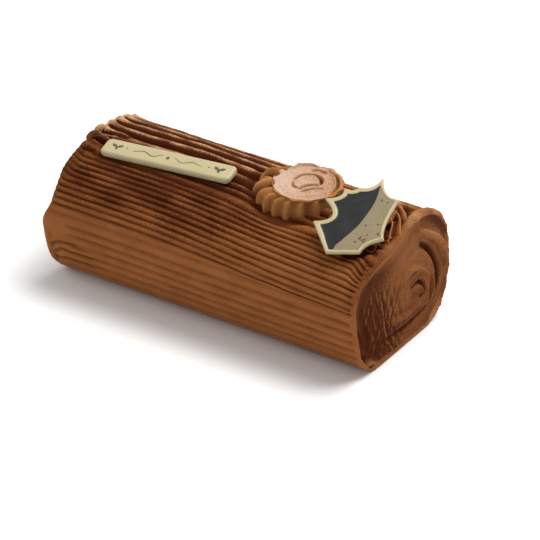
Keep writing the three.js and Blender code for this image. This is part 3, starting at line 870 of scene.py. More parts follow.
    def grooves(self) -> tuple[Array, Array]:
        """Lays out the grooves from the front foot to the back foot.

        Returns:
            Where each groove lies over the section, and how deep it is.
        """
        spots = [*self.foot_grooves, *self.faint, self.soft_start]
        depths = [*self.foot_depths, *[self.faint_depth] * len(self.faint), self.soft_depth]
        for k in range(self.comb_count):
            spots.append(self.comb_first + k * self.comb_pitch)
            depths.append(self.comb_shallow if k % 2 else self.comb_deep)
        spots.extend(self.rope_first + np.concatenate([[0.0], np.cumsum(self.rope_widths)]))
        depths.extend(self.rope_depths)
        spots.extend([(spots[-1] + self.section.total) / 2, self.section.total + self.overshoot])
        depths.extend([self.back_depth, 0.0])
        return np.array(spots), np.array(depths)

    def stations(self) -> tuple[Array, Array]:
        """Chooses the places along X where the side is sampled.

        Returns:
            The places, and how far inside the section each lies, which rounds the two rims.
        """
        half = self.length / 2
        left, right = self.edge_radius
        calm = half - self.end_zone
        side = np.concatenate([
            np.arange(left - half, -calm, self.fine_step),
            np.linspace(-calm, calm, self.stations_between),
            np.arange(calm + self.fine_step, half - right + 0.01, self.fine_step)])
        turn = np.linspace(0, math.pi / 2, self.edge_steps + 1)[1:]
        x = np.concatenate([(left - half - left * np.sin(turn))[::-1], side,
                            half - right + right * np.sin(turn)])
        inset = np.concatenate([(left * (1 - np.cos(turn)))[::-1], np.zeros(len(side)),
                                right * (1 - np.cos(turn))])
        return x, inset

    def shift(self, u: Array, x: Array) -> Array:
        """How far a ridge is carried over the section at x.

        The ridges sink to the right, bend round the left rosette, hook down at the right end
        and turn up on the crown at the left end.

        Args:
            u: Where the ridge lies over the section before it is carried.
            x: Places along the log.

        Returns:
            The distance at each place, positive towards the back.
        """
        held = ramp(u, 0, 24) * (1 - ramp(u, 215, 250))
        drift = -8 * ramp(x, -60, 112) * (0.3 + 0.7 * ramp(u, 60, 68))
        hook = -(0.8 + 5.0 * ramp(u, 80, 98)) * ramp(x, 96, 108)
        right = hook * ramp(u, 58, 70) * (1 - ramp(u, 100, 130))
        left = 2 * ramp(-x, 102, 109) * ramp(u, 66, 100) * (1 - ramp(u, 170, 210))
        round_rosette = -2.8 * hump(x, 34, 34) * hump(u, 112, 24)
        sway = Waves(11, (70, 190), (24, 90)).at(x, u) * (0.15 + 0.35 * ramp(u, 100, 120))
        shake = Waves(12, (18, 60), (10, 24)).at(x, u) * (0.08 + 0.14 * ramp(u, 100, 120))
        calm = ramp(u, 10, 40) * (1 - ramp(u, 225, 250)) * ramp(110 - np.abs(x), 0, 12)
        return held * (drift + right + left + round_rosette) + calm * (sway + shake)

    def held(self, u: Array, x: Array, groove: Array) -> Array:
        """How firmly the comb was pressed.

        Args:
            u: Places over the section.
            x: Places along the log.
            groove: The number of the groove at each place.

        Returns:
            About 1 along the side, less at the left end and 0 on the lip at the right end.
        """
        uneven = 0.8 * np.sin(groove * 2.4) + 0.5 * np.sin(groove * 5.1)
        stop = 107.6 + uneven - 2.0 * ramp(u, 104, 125)
        right = 1 - ramp(x, stop - 1.3, stop + 0.9)
        left = 1 - 0.8 * ramp(-x, 106.0, 110.0)
        return right * left * (1 + 0.16 * Waves(21, (14, 60), (9, 30)).at(x, u))

    def side(self, u: Array, phase: Array, depth: Array) -> tuple[Array, dict[str, Array]]:
        """Points of the side, rows of stations by columns, with their marks.

        Args:
            u: Where each column lies over the section, before its ridge is carried along.
            phase: The column's place between grooves, whole in each groove.
            depth: The depth of its groove.

        Returns:
            The points and the marks of each point.
        """
        stations, inset = self.stations()
        x, u = np.meshgrid(stations, u, indexing="ij")
        s = u + self.shift(u, x)
        inset = inset[:, None] + self.bevel * ramp(x, 103.5, 110) * hump(s, 110, 38)
        y, z = self.section.at(s)
        ny, nz = self.section.normal(s)
        grounded = z < 0.01
        y = np.where(grounded, y - np.sign(y) * inset, y - ny * inset)
        z = np.where(grounded, 0.0, z - nz * inset)
        bulge = ramp(-x, 98, 110) * ramp(s, -14, 6) * (1 - ramp(s, 48, 68))
        flare = self.flare * ramp(x, 98, 110) * hump(s, 110, 40)
        points = np.stack([x - self.foot_bulge * bulge + flare, y, z], axis=-1)
        groove = np.round(phase)[None, :] + 0 * x
        plain = 1 - ramp(-x, 94, 101) * (1 - ramp(u, 56, 61))
        splay = 1.3 * ramp(-x, 97, 109) * ramp(s, 76, 92) * (1 - ramp(s, 165, 185))
        proud = 1.7 * ramp(x, 104, 108) * ramp(s, 122, 140) * (1 - ramp(s, 172, 195))
        lumpy = 2.0 * ramp(x, 100, 108) * ramp(s, 160, 185)
        spot = np.column_stack([x.ravel(), s.ravel()])
        curls = sum(mark.relief(spot) for mark in self.side_marks).reshape(x.shape)
        marks = {
            "phase": phase[None, :] + 0 * x,
            "depth": depth[None, :] * plain,
            "held": self.held(u, x, groove),
            "lift": curls + splay + proud,
            "rough": ramp(z, 0, 6) * (0.4 + 0.8 * ramp(u, 66, 100) + lumpy),
            "smeared": 0.08 + 0.4 * ramp(u, 66, 110),
            # The cocoa mark also carries painted shade on the right lip; the sugar mark is a
            # painted sheen.
            "cocoa": self.cocoa_and_lip_shade(x, s),
            "sugar": self.painted_sheen(x, s),
            "flow": np.stack([x, s, 0 * x], axis=-1) * MM,
        }
        return points, marks

    def cocoa_and_lip_shade(self, x: Array, s: Array) -> Array:
        """How thickly cocoa lies, most on the crown and least low down, with painted shade on the
        right lip.

        Args:
            x: Places along the log.
            s: Places over the section.

        Returns:
            The cover at each place, 0 to 1.
        """
        reach = 1.15 * ramp(s, 46, 92) * (1 - 0.5 * ramp(s, 150, 185))
        side = 1 - 0.5 * ramp(x, -30, 60)
        # painted shade: the right lip darker low on the front
        lip = 0.32 * ramp(x, 99, 107) * ramp(s, 10, 40) * (1 - ramp(s, 92, 116))
        patches = 0.8 + 0.13 * Waves(31, (24, 80), (14, 50)).at(x, s)
        back_foot = 1 - ramp(s, self.section.total - 4, self.section.total - 1)
        return np.clip((reach * side * patches + lip) * back_foot, 0, 1)

    def painted_sheen(self, x: Array, s: Array) -> Array:
        """How strongly a pale painted sheen lies, a painted highlight in the sugar colour: on the
        crown, the right lip and the curls.

        Args:
            x: Places along the log.
            s: Places over the section.

        Returns:
            The cover at each place.
        """
        # painted highlight on the crown's crests, the right lip and the left curls
        crown = 0.55 * ramp(s, 108, 132) * (1 - ramp(s, 205, 235)) * (1 - 0.75 * ramp(x, 96, 107))
        lip = 0.2 * ramp(x, 103, 108) * ramp(s, 92, 118) * (1 - ramp(s, 170, 200))
        curls = 0.18 * ramp(-x, 96, 106) * ramp(s, 108, 124) * (1 - ramp(s, 190, 220))
        return (crown + lip + curls) * (0.8 + 0.2 * Waves(32, (12, 50), (10, 40)).at(x, s))

    def end(self, rim: Array, which: End) -> tuple[Array, dict[str, Array]]:
        """Points of one end, from just inside its rim to its middle, with their marks.

        Args:
            rim: The points of the rim.
            which: The end.

        Returns:
            Rows of rings by spokes, and the marks of each point.
        """
        share = np.linspace(1, 0, self.cap_rings[which is End.RIGHT] + 1)[1:, None]
        centre = np.array([rim[0, 0], *self.swirl_centre])
        points = centre + (rim[None, :, :] - centre) * share[..., None]
        y, z = points[..., 1], points[..., 2]
        offset = rim[:, 1:] - np.array(self.swirl_centre)
        angle = np.arctan2(offset[:, 1], offset[:, 0])[None, :]
        edge = ramp(1 - share, 0.0, 0.1)
        points[..., 0] += which.value * edge * (self.bulge * (1 - share ** 2) - self.recess)
        uneven = Waves(41, (30, 80), (30, 80)).at(y, z)
        phase = (share - 0.03) * self.swirl_turns - angle / math.tau + 0.2 * uneven
        lift = 0 * y
        if which is End.RIGHT:
            spot = flat(points[..., 1:])
            lift = sum(mark.relief(spot) for mark in self.end_marks).reshape(y.shape)
        right_end = float(which is End.RIGHT)
        lower_left = right_end * ramp(-y, 5, 40) * (1 - ramp(z, 26, 52))
        left_edge_shade = right_end * ramp(share, 0.25, 0.75) * ramp(-y, -5, 30) * (1 - ramp(z, 62, 74))
        lower_lip = ramp(share, 0.84, 0.93) * (1 - ramp(z, 5, 16))
        worn = np.clip(0.55 + 0.45 * Waves(42, (24, 60), (24, 60)).at(y, z), 0, 1)
        smooth = 1 - 0.8 * ramp(z, 48, 66) * ramp(-y, -25, 0)
        torn = right_end * ramp(-y, -12, 22) * (1 - ramp(z, 40, 60)) * ramp(1 - share, 0.08, 0.2)
        strands = torn * np.clip(Waves(43, (3.0, 7.5), (11.0, 32.0)).at(y, z), -1, 1)
        fade = 1 - ramp(share, 0.8, 0.95)
        # The sugar mark paints a highlight on the raised ridges, and makes the raised strands and
        # the lower lip paler. The cocoa mark is an even cover with painted shade added: darker
        # towards the bottom, at the lower left and in a band inside the left edge.
        marks = {
            "phase": phase, "depth": self.swirl_depth * smooth * worn, "held": edge * fade,
            "lift": lift + 0.45 * strands, "rough": edge * (1.5 + 3.6 * lower_left),
            "sugar": (0.3 * ramp(lift, 0.5, 2.0) * ramp(z, 9, 16) + 0.3 * right_end * lower_lip
                      + 0.08 * ramp(strands, 0.0, 0.9)),
            "cocoa": ((0.3 + 0.4 * (1 - ramp(z, 15, 60)) + 0.1 * lower_left + 0.7 * left_edge_shade)
                      * (1 - 0.8 * lower_lip) * ramp(z, 0.6, 2.2) * (1 - 0.6 * strands)),
            "smeared": edge * (1.1 + 1.0 * lower_left)}
        marks = {mark: np.broadcast_to(values, y.shape) for mark, values in marks.items()}
        return points, marks | {"flow": round_flow(angle, 0.45 * self.mean_reach * share, 12.0)}

    def columns(self) -> tuple[Array, Array, Array]:
        """Chooses the columns of points that the side is made of, closest in the grooves.

        Returns:
            Where each column lies over the section, its place between grooves (whole in each
            groove) and the depth of its groove.
        """
        spots, depths = self.grooves()
        steps = np.array(self.columns_per_groove)
        phase = (np.arange(len(spots) - 1)[:, None] + steps[None, :]).ravel()
        u = np.interp(phase, np.arange(len(spots)), spots)
        inside = (u > 0) & (u < self.section.total)
        u, phase = u[inside], phase[inside]
        u[0], u[-1] = 0.0, self.section.total
        return u, phase, depths[np.round(phase).astype(int)] * ramp(u, 6, 22)

    def tube(self) -> tuple[Array, dict[str, Array]]:
        """The side and the flat underside, as rings of points that close on themselves.

        Returns:
            Rows of stations by columns, and the marks of each point.
        """
        points, marks = self.side(*self.columns())
        t = np.linspace(0, 1, self.base_columns + 2)[1:-1]
        floor = points[:, -1:, :] + (points[:, :1, :] - points[:, -1:, :]) * t[None, :, None]
        for mark, values in marks.items():
            plain = np.zeros((len(points), self.base_columns, *values.shape[2:]))
            marks[mark] = np.concatenate([values, plain], axis=1)
        return np.concatenate([points, floor], axis=1), marks

    @staticmethod
    def closing(rim: Array, start: int, rings: int) -> list[list[int]]:
        """The faces from a rim over the rings inside it to the middle point.

        Args:
            rim: The numbers of the rim's points.
            start: The number of the first point inside the rim.
            rings: How many rings lie inside the rim, before the middle point.

        Returns:
            The faces as rows of point numbers, facing +X.
        """
        inside = start + np.arange(rings * len(rim)).reshape(rings, -1)
        ordered = np.vstack([rim[None, :], inside])
        last = ordered[-1]
        middle = np.full(len(rim), start + inside.size)
        fan = np.column_stack([last, middle, np.roll(last, -1)]).tolist()
        return band(ordered[:-1], ordered[1:]) + fan

    def surface(self) -> bpy.types.Object:
        """Makes the smooth closed surface of the coat, before the grooves.

        Returns:
            The object with its marks, whose heights are in metres.
        """
        points, marks = self.tube()
        rows, count = points.shape[:2]
        grid = np.arange(rows * count).reshape(rows, count)
        faces = band(grid[:-1], grid[1:])
        everything = [flat(points)]
        values = {mark: [flat(value)] for mark, value in marks.items()}
        start = rows * count
        for row, which in ((rows - 1, End.RIGHT), (0, End.LEFT)):
            cap, cap_marks = self.end(points[row], which)
            rings = len(cap) - 1
            closing = self.closing(grid[row], start, rings)
            faces.extend(closing if which is End.RIGHT else [f[::-1] for f in closing])
            everything.extend([flat(cap[:-1]), cap[-1, :1]])
            for mark in values:
                values[mark].extend([flat(cap_marks[mark][:-1]), cap_marks[mark][-1, :1]])
            start += rings * count + 1
        marks = {mark: np.concatenate(parts) for mark, parts in values.items()}
        for mark in ("depth", "lift"):
            marks[mark] = marks[mark] * MM
        return mesh_object("coat_surface", np.vstack(everything), faces, marks)

    def build(self) -> bpy.types.Object:
        """Presses the grooves.

        Returns:
            The finished coat.
        """
        coat = grown(self.surface(), self.trees.grooves, {
            "Scooped": Profile.ROUND_CREST.value, "Roundness": 1.2,
            "Full Depth": self.full_shade_depth * MM,
            "Lump Size": 16 * MM, "Lump Height": 1.2 * MM,
            "Grain Size": 2.4 * MM, "Grain Height": 0.55 * MM,
            "Smear Scale": smear_scale(16.0, 3.6), "Smear Height": 1.3 * MM, "Seed": 3.0,
            "Material": COAT.material()}, "coat")
        points = points_of(coat.data)
        points[:, 2] = np.maximum(points[:, 2], 0.0)
        move_points(coat.data, points)
        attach(coat, BODY)
        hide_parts("log_body")
        return coat


# ---------------------------------------------------------------- the rosettes
@dataclass(frozen=True)
class Disc:
    """An oval outline seen from above."""

    x: float
    y: float
    rx: float
    ry: float


@dataclass
class Rosette:
    """Buttercream piped in a round with a star nozzle: scooped wall, wavy lip, spiral face."""

    name: str
    trees: Trees
    finish: Buttercream
    slot: str
    base: Disc
    top: Disc
    height: float
    slope: float  # rise of the face towards the back
    flutes: int
    scoop: float  # depth of a scoop as a share of the rosette's size
    phase: float  # the angle of the first flute
    seed: int
    scratches: tuple[Scratch, ...]
    crowding: tuple[float, float]  # how much closer flutes stand, and where
    open_at: float  # the direction in which the face has no lip
    open_reach: tuple[float, float]  # how far to both sides of it the lip starts and is whole
    roundness: float  # exponent of the scoops: more makes their crests broader
    flute_sway: float = 0.22  # most that each of four slow waves shifts a flute, in flutes
    flute_change: float = 0.22  # how unlike in depth the flutes are
    foot: float = 66.0  # height of the lowest ring
    tuck: float = 0.0  # how far the foot draws in under the wall
    shoulder: float = 10.5  # how far below the rim the wall starts to turn in
    dome: float = 0.9  # how much higher the middle of the face is
    lean: float = 0.35  # how far the crests twist from foot to rim, in flutes
    lip: tuple[float, float] = (-0.3, 1.6)  # least and most that the face's lip hangs over
    lip_height: float = 1.1
    lip_rings: int = 6
    collar: float = 1.5  # from the foot's last ring up to where the wall turns in
    rim_held: float = 0.55  # how deep the scoops still are under the lip
    samples: int = 20
    foot_rings: int = 4
    wall_rings: int = 30
    face_rings: int = 46
    full_shade_depth: float = 2.6
    sugar: float = 0.0

    def build(self) -> bpy.types.Object:
        """Builds the rosette with its flutes, lip and spiral.

        Returns:
            The finished rosette.
        """
        around = self.flutes * self.samples
        turn = np.linspace(0, math.tau, around, endpoint=False)[None, :]
        points, share, on_face = self.rings(turn + self.phase)
        grid = np.arange(len(points) * around).reshape(-1, around)
        faces = [face[::-1] for face in band(grid[:-1], grid[1:])]
        faces.append(grid[0][::-1].tolist())
        surface = mesh_object(self.name + "_surface", flat(points), faces,
                              self.marks(turn, points, share, on_face))
        rosette = grown(surface, self.trees.grooves, {
            "Scooped": Profile.SHARP_CREST.value, "Roundness": self.roundness,
            "Full Depth": self.full_shade_depth * MM,
            "Lump Size": 8 * MM, "Lump Height": 1.7 * MM,
            "Grain Size": 1.8 * MM, "Grain Height": 0.35 * MM,
            "Smear Scale": smear_scale(9.0, 2.4), "Smear Height": 0.8 * MM,
            "Seed": float(self.seed), "Material": self.finish.material()}, self.name + "_piped")
        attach(rosette, BODY)
        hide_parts(self.name)
        return rosette

    def marks(self, turn: Array, points: Array, share: Array, on_face: Array) -> dict[str, Array]:
        """The marks that the flutes, the scratches and the powder follow.

        Args:
            turn: The angle of each point round the rosette, from the first flute, as a row.
            points: The points, rows of rings.
            share: How far up the wall each ring lies, as a column.
            on_face: How far from the middle of the face each ring lies, as a column.

        Returns:
            The values of each mark, one for each point.
        """
        angle = turn + self.phase
        draw = np.random.default_rng(self.seed)
        most = self.flute_sway
        sway = sum(draw.uniform(-most, most) * np.sin(k * turn + draw.uniform(0, math.tau))
                   for k in (1, 2, 3, 4))
        close, where = self.crowding
        crowded = turn + close * (np.sin(angle - where) - math.sin(self.phase - where))
        phase = crowded / math.tau * self.flutes + sway + self.lean * share
        uneven = 1 + self.flute_change * np.sin(np.round(phase) * 2.7 + self.seed)
        size = self.scoop * (self.base.rx + self.base.ry) / 2
        opened = self.opened(angle)
        kept = np.maximum(self.rim_held, opened)
        held = np.where(share < 1, 1 - (1 - kept) * ramp(share, 0.7, 1.0),
                        0.8 * opened * ramp(on_face, 0.88, 1.0))
        spot = flat(points[..., :2])
        lift = sum(mark.relief(spot) for mark in self.scratches).reshape(points.shape[:2])
        lift = lift * ramp(share, 0.05, 0.3)
        sugar = self.sugar * (on_face > 0) * self.sugar_reach(points[..., 0], points[..., 1])
        marks = {"phase": phase, "depth": size * uneven * (1 + 0.6 * opened) * MM, "held": held,
                 "lift": lift * MM, "rough": 0.45 + 0.55 * (on_face > 0), "sugar": sugar,
                 "cocoa": 0 * share, "smeared": 0.3 + 0.7 * (on_face > 0)}
        marks = {k: np.broadcast_to(v, points.shape[:2]).ravel() for k, v in marks.items()}
        reach = np.where(on_face > 0, on_face, 2 - share) * self.top.rx
        marks["flow"] = flat(round_flow(angle, reach, 7.0))
        return marks

    def rings(self, angle: Array) -> tuple[Array, Array, Array]:
        """The rings of points from the foot over the lip to the middle of the face.

        Args:
            angle: The angle of each point round the rosette, as a row.

        Returns:
            The points, how far up the wall each ring lies (0 to 1, 1 on the face) and, on the
            face, its distance from the middle (0 to 1), both as columns.
        """
        ripple = 1 + 0.015 * np.sin(3 * angle + self.seed)
        rise = np.linspace(0, math.pi / 2, self.wall_rings)
        # Foot, wall and lip: how far each ring has come from the base's outline to the top's,
        # whether it hangs out with the lip, and how far from the rim's height it lies.
        collar = -self.shoulder - self.lip_height - self.collar
        parts = [(np.linspace(self.tuck, 0, self.foot_rings), 0.0,
                  np.linspace(self.foot - self.height, collar, self.foot_rings))]
        parts.append((1 - np.cos(rise) ** 0.9, 0.0,
                      -self.lip_height - self.shoulder * (1 - np.sin(rise) ** 0.75)))
        wave = sum(np.sin(k * angle + self.seed * k) for k in (4, 7, 11, 16)) / 2.6
        hang = self.lip[0] + (self.lip[1] - self.lip[0]) * (0.5 + 0.5 * wave)
        hang = hang * (1 - self.opened(angle))
        turned = np.linspace(-0.45 * math.pi, 0.5 * math.pi, self.lip_rings)
        parts.append((np.ones(self.lip_rings), np.cos(turned),
                      self.lip_height * (np.sin(turned) - 1) / 2))
        share = np.concatenate([part[0] for part in parts])[:, None]
        out = np.concatenate([part[1] + 0 * part[0] for part in parts])[:, None]
        drop = np.concatenate([part[2] for part in parts])[:, None]
        x, y = self.oval(share, angle, ripple)
        x, y = x + out * hang * np.cos(angle), y + out * hang * np.sin(angle)
        z = self.height + drop + self.leaning(y) * ramp(share, 0, 0.2)
        face = np.linspace(1, 0, self.face_rings + 2)[1:, None]
        face_x, face_y = self.oval(np.ones_like(face), angle, ripple)
        face_x = self.top.x + (face_x - self.top.x) * face
        face_y = self.top.y + (face_y - self.top.y) * face
        face_z = (self.height + self.leaning(face_y) + self.dome * (1 - face ** 2)
                  - 0.4 * hump(face, 0.88, 0.12))
        points = np.concatenate([np.stack([x, y, z], -1), np.stack([face_x, face_y, face_z], -1)])
        on_face = np.concatenate([0 * share, face])
        return points, np.concatenate([share, np.ones_like(face)]), on_face

    def leaning(self, y: Array) -> Array:
        """How much higher the face is at y: it falls to the front and is level at the back."""
        return self.slope * np.minimum(y - self.top.y, 4.0)

    def opened(self, angle: Array) -> Array:
        """Where the scoops run on into the face: 1 in the open direction, 0 where the lip is."""
        turned = np.abs((angle - self.open_at + math.pi) % math.tau - math.pi)
        return 1 - ramp(turned, *self.open_reach)

    def oval(self, share: Array, angle: Array, ripple: Array) -> tuple[Array, Array]:
        """Points on the ovals between the base and the top.

        Args:
            share: Which oval, from 0 at the base to 1 at the top.
            angle: Angles round the rosette.
            ripple: How much wider than its oval the rosette is at each angle.

        Returns:
            The x and y of the points.
        """
        x, y, rx, ry = (low + (high - low) * share
                        for low, high in zip(astuple(self.base), astuple(self.top)))
        return x + rx * ripple * np.cos(angle), y + ry * ripple * np.sin(angle)

    def sugar_reach(self, x: Array, y: Array) -> Array:
        """How thickly icing sugar lies on the face: most at its left and front."""
        across = (x - self.top.x) / self.top.rx * 0.8 + (y - self.top.y) / self.top.ry * 0.5
        return np.clip(0.55 - 0.2 * across, 0, 1)


# ---------------------------------------------------------------- white chocolate pieces
def placement(at: Sequence[float], yaw: float, tilt: float, lean: float) -> Matrix:
    """The place of a piece: turned about X by tilt, Y by lean and Z by yaw, in degrees."""
    turns = Euler([math.radians(a) for a in (tilt, lean, yaw)], "ZYX")
    return Matrix.Translation(Vector(at)) @ turns.to_matrix().to_4x4()


def slab(name: str, outline: Array, thickness: float, round_over: float, spacing: float,
         top: Callable[[Array, Array], Array], place: Matrix,
         marks: Callable[[Array, Array], dict[str, Array]] | None = None) -> bpy.types.Object:
    """A flat piece with a rounded edge, cut to an outline.

    Args:
        name: The object's name.
        outline: The outline, anticlockwise, one row for each point.
        thickness: Its thickness; the upper face lies at height 0.
        round_over: How far in from the outline the edge's rounding reaches.
        spacing: The distance between the points of its faces.
        top: The height added to the upper face, from the points and their distance inside.
        place: Where it goes.
        marks: Values for each point, from the points and their distance inside.

    Returns:
        The closed object.
    """
    closed = np.vstack([outline, outline[:1]])
    following = np.roll(outline, -1, axis=0) - np.roll(outline, 1, axis=0)
    inward = np.column_stack([-following[:, 1], following[:, 0]])
    inward /= np.linalg.norm(inward, axis=1)[:, None]
    rows = [outline]
    for share in EDGE_ROWS:
        ring = outline + inward * round_over * share
        gap, _ = distance_to(ring, closed)
        rows.append(ring[gap > 0.9 * round_over * share])
    low, high = outline.min(0), outline.max(0)
    gx, gy = np.meshgrid(np.arange(low[0], high[0], spacing), np.arange(low[1], high[1], spacing))
    inner = np.column_stack([gx.ravel(), gy.ravel()])
    gap, _ = distance_to(inner, closed)
    rows.append(inner[gap > EDGE_ROWS[-1] * round_over + 0.6 * spacing])
    cloud = np.vstack(rows)
    count = len(outline)
    edges = [(k, (k + 1) % count) for k in range(count)]
    points, _, faces, *_ = delaunay_2d_cdt([Vector(p) for p in cloud], edges, [], 1, 1e-4)
    spots = np.array([tuple(p) for p in points])
    gap, _ = distance_to(spots, closed)
    on_edge = gap < 1e-3
    free = ~on_edge
    full = np.clip(gap / round_over, 0, 1)
    bow = np.sqrt(1 - (1 - full) ** 2)
    upper = -thickness / 2 + thickness / 2 * bow + np.where(on_edge, 0, top(spots, gap))
    lower = -thickness / 2 - thickness / 2 * bow
    under = np.arange(len(spots))
    under[free] = len(spots) + np.arange(free.sum())
    faces = [list(f) for f in faces]
    area = sum(np.cross(spots[f[1]] - spots[f[0]], spots[f[2]] - spots[f[0]]) for f in faces[:50])
    if area < 0:
        faces = [f[::-1] for f in faces]
    below = [[int(under[k]) for k in reversed(f)] for f in faces]
    solid = np.vstack([np.column_stack([spots, upper]), np.column_stack([spots, lower])[free]])
    values = {}
    if marks:
        for mark, v in marks(spots, gap).items():
            values[mark] = np.concatenate([v, np.zeros(free.sum())])
    turned = np.array([tuple(place @ Vector(p)) for p in solid])
    return mesh_object(name, turned, faces + below, values)


def dress(thing: bpy.types.Object, material: bpy.types.Material,
          node: str | None = None) -> bpy.types.Object:
    """Gives a piece its material, its body and the solid that it stands for.

    Args:
        thing: The piece.
        material: Its material.
        node: The solid that it replaces, if there is one.

    Returns:
        The piece.
    """
    thing.data.materials.clear()
    thing.data.materials.append(material)
    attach(thing, BODY)
    if node:
        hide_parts(node)
    return thing


@dataclass
class Plaque:
    """A moulded bar of white chocolate with soft edges and a plain printed ornament."""

    length: float = 90.0
    width: float = 14.0
    thickness: float = 4.7
    corner: float = 3.4
    round_over: float = 1.5
    outline_step: float = 0.8
    face_step: float = 0.7
    at: tuple[float, float, float] = (-48.6, -13.4, 83.4)  # middle of its underside
    yaw: float = 5.2
    tilt: float = 12.0
    pitch: float = -1.1
    sprig_at: float = 35.5  # from the middle of the bar to the sprig at each end
    sprig: tuple[tuple[float, float, float], ...] = (  # turn, reach and size of each leaf
        (150, 2.2, 1.5), (30, 2.2, 1.5), (-80, 1.5, 1.1))
    dot_at: float = 28.5
    scroll: tuple[float, float] = (4.0, 24.0)  # where the scroll's two halves start and end
    scroll_height: float = 1.7
    print_height: float = 0.16

    def outline(self) -> Array:
        """A rectangle with round corners.

        Returns:
            Its points, anticlockwise, one row each.
        """
        rows = []
        for k, (sx, sy) in enumerate(((1, -1), (1, 1), (-1, 1), (-1, -1))):
            cx = sx * (self.length / 2 - self.corner)
            cy = sy * (self.width / 2 - self.corner)
            for turn in np.linspace(0, math.pi / 2, 9) + (k - 1) * math.pi / 2:
                rows.append((cx + self.corner * math.cos(turn), cy + self.corner * math.sin(turn)))
        return resampled(np.array(rows), self.outline_step)

    def place(self) -> Matrix:
        """Where the bar's upper face lies."""
        return placement(self.at, self.yaw, self.tilt, self.pitch) @ Matrix.Translation(
            (0, 0, self.thickness))

    def build(self) -> list[bpy.types.Object]:
        """Builds the bar and its ornament.

        Returns:
            The two pieces.
        """
        waves = Waves(51, (18, 60), (10, 30))

        def top(points: Array, gap: Array) -> Array:
            """A slight unevenness that leaves the edge alone."""
            return 0.08 * waves.at(points[:, 0], points[:, 1]) * ramp(gap, 0, 2)

        bar = slab("plaque_bar", self.outline(), self.thickness, self.round_over,
                   self.face_step, top, self.place())
        return [dress(bar, IVORY.material(), "plaque"), self.ornament()]

    def ornament(self) -> bpy.types.Object:
        """A sprig of three leaves near each end and a plain scroll between them, in dark ink.

        Returns:
            The ornament as one piece.
        """
        shapes = []
        for side in (-1, 1):
            for turn, reach, size in self.sprig:
                cx = side * self.sprig_at + reach * math.cos(math.radians(turn))
                cy = -0.2 + reach * math.sin(math.radians(turn)) * 0.8
                shapes.append(leaflet((cx, cy), size * 1.5, size * 0.8, math.radians(turn)))
        start, stop = self.scroll
        t = np.linspace(-1, 1, 61)
        for mirror in (-1, 1):
            fading = 1 - 0.55 * (t + 1) / 2
            wave = np.column_stack([mirror * (start + (stop - start) * (t + 1) / 2),
                                    self.scroll_height * np.sin(t * 4.4) * fading])
            shapes.append(stroke(wave, 0.42))
        shapes.append(leaflet((0, 0), 1.5, 1.1, math.pi / 2))
        for side in (-1, 1):
            shapes.append(leaflet((side * self.dot_at, 0.3), 0.6, 0.6, 0))
        return dress(plates("plaque_ornament", shapes, self.print_height, self.place()),
                     INK.material())


def resampled(points: Array, spacing: float) -> Array:
    """Spreads an outline's points evenly.

    Args:
        points: The outline, one row for each point.
        spacing: About how far apart the new points stand.

    Returns:
        The new points, one row each.
    """
    closed = np.vstack([points, points[:1]])
    run = np.concatenate([[0], np.cumsum(np.linalg.norm(np.diff(closed, axis=0), axis=1))])
    stops = np.linspace(0, run[-1], int(run[-1] / spacing), endpoint=False)
    return np.column_stack([np.interp(stops, run, closed[:, k]) for k in (0, 1)])


def leaflet(centre: Point, long: float, wide: float, turn: float) -> Array:
    """A small pointed oval.

    Args:
        centre: Its middle.
        long: Half its length.
        wide: Half its width.
        turn: The direction of its length, in radians.

    Returns:
        Its outline, anticlockwise.
    """
    a = np.linspace(0, math.tau, 20, endpoint=False)
    x = long * np.cos(a)
    y = wide * np.sin(a) * (1 - 0.35 * np.abs(np.cos(a)))
    return np.column_stack([centre[0] + x * math.cos(turn) - y * math.sin(turn),
                            centre[1] + x * math.sin(turn) + y * math.cos(turn)])


def stroke(path: Array, width: float) -> Array:
    """A line drawn along a path, thin at its ends.

    Args:
        path: The path's points, one row each.
        width: The width of the line at its middle.

    Returns:
        Its outline, anticlockwise.
    """
    along = np.gradient(path, axis=0)
    side = np.column_stack([-along[:, 1], along[:, 0]])
    side /= np.linalg.norm(side, axis=1)[:, None]
    half = width / 2 * (0.35 + 0.65 * np.sin(np.linspace(0.05, math.pi - 0.05, len(path))))
    outline = np.vstack([path + side * half[:, None], (path - side * half[:, None])[::-1]])
    x, y = outline.T
    area = np.sum(x * np.roll(y, -1) - np.roll(x, -1) * y)
    return outline if area > 0 else outline[::-1]


def plates(name: str, outlines: Sequence[Array], thickness: float, place: Matrix,
           sunk: float = 0.05) -> bpy.types.Object:
    """Thin closed plates of print that lie on a face, joined into one piece.

    Args:
        name: The object's name.
        outlines: The outline of each plate, anticlockwise.
        thickness: How far each stands above the face.
        place: Where the face lies.
        sunk: How far each also reaches into the face.

    Returns:
        The object.
    """
    rows, faces = [], []
    for outline in outlines:
        start = len(rows)
        edges = [(k, (k + 1) % len(outline)) for k in range(len(outline))]
        points, _, triangles, *_ = delaunay_2d_cdt([Vector(p) for p in outline], edges, [], 1, 1e-5)
        spots = [tuple(p) for p in points]
        used = len(spots)
        rows.extend([(x, y, thickness) for x, y in spots])
        rows.extend([(x, y, -sunk) for x, y in spots])
        for triangle in map(list, triangles):
            a, b, c = (np.array(spots[k]) for k in triangle[:3])
            upward = triangle if np.cross(b - a, c - a) > 0 else triangle[::-1]
            faces.append([start + k for k in upward])
            faces.append([start + used + k for k in reversed(upward)])
        for a, b in edges:
            faces.append([start + a, start + used + a, start + used + b, start + b])
    turned = np.array([tuple(place @ Vector(p)) for p in rows])
    return mesh_object(name, turned, faces)


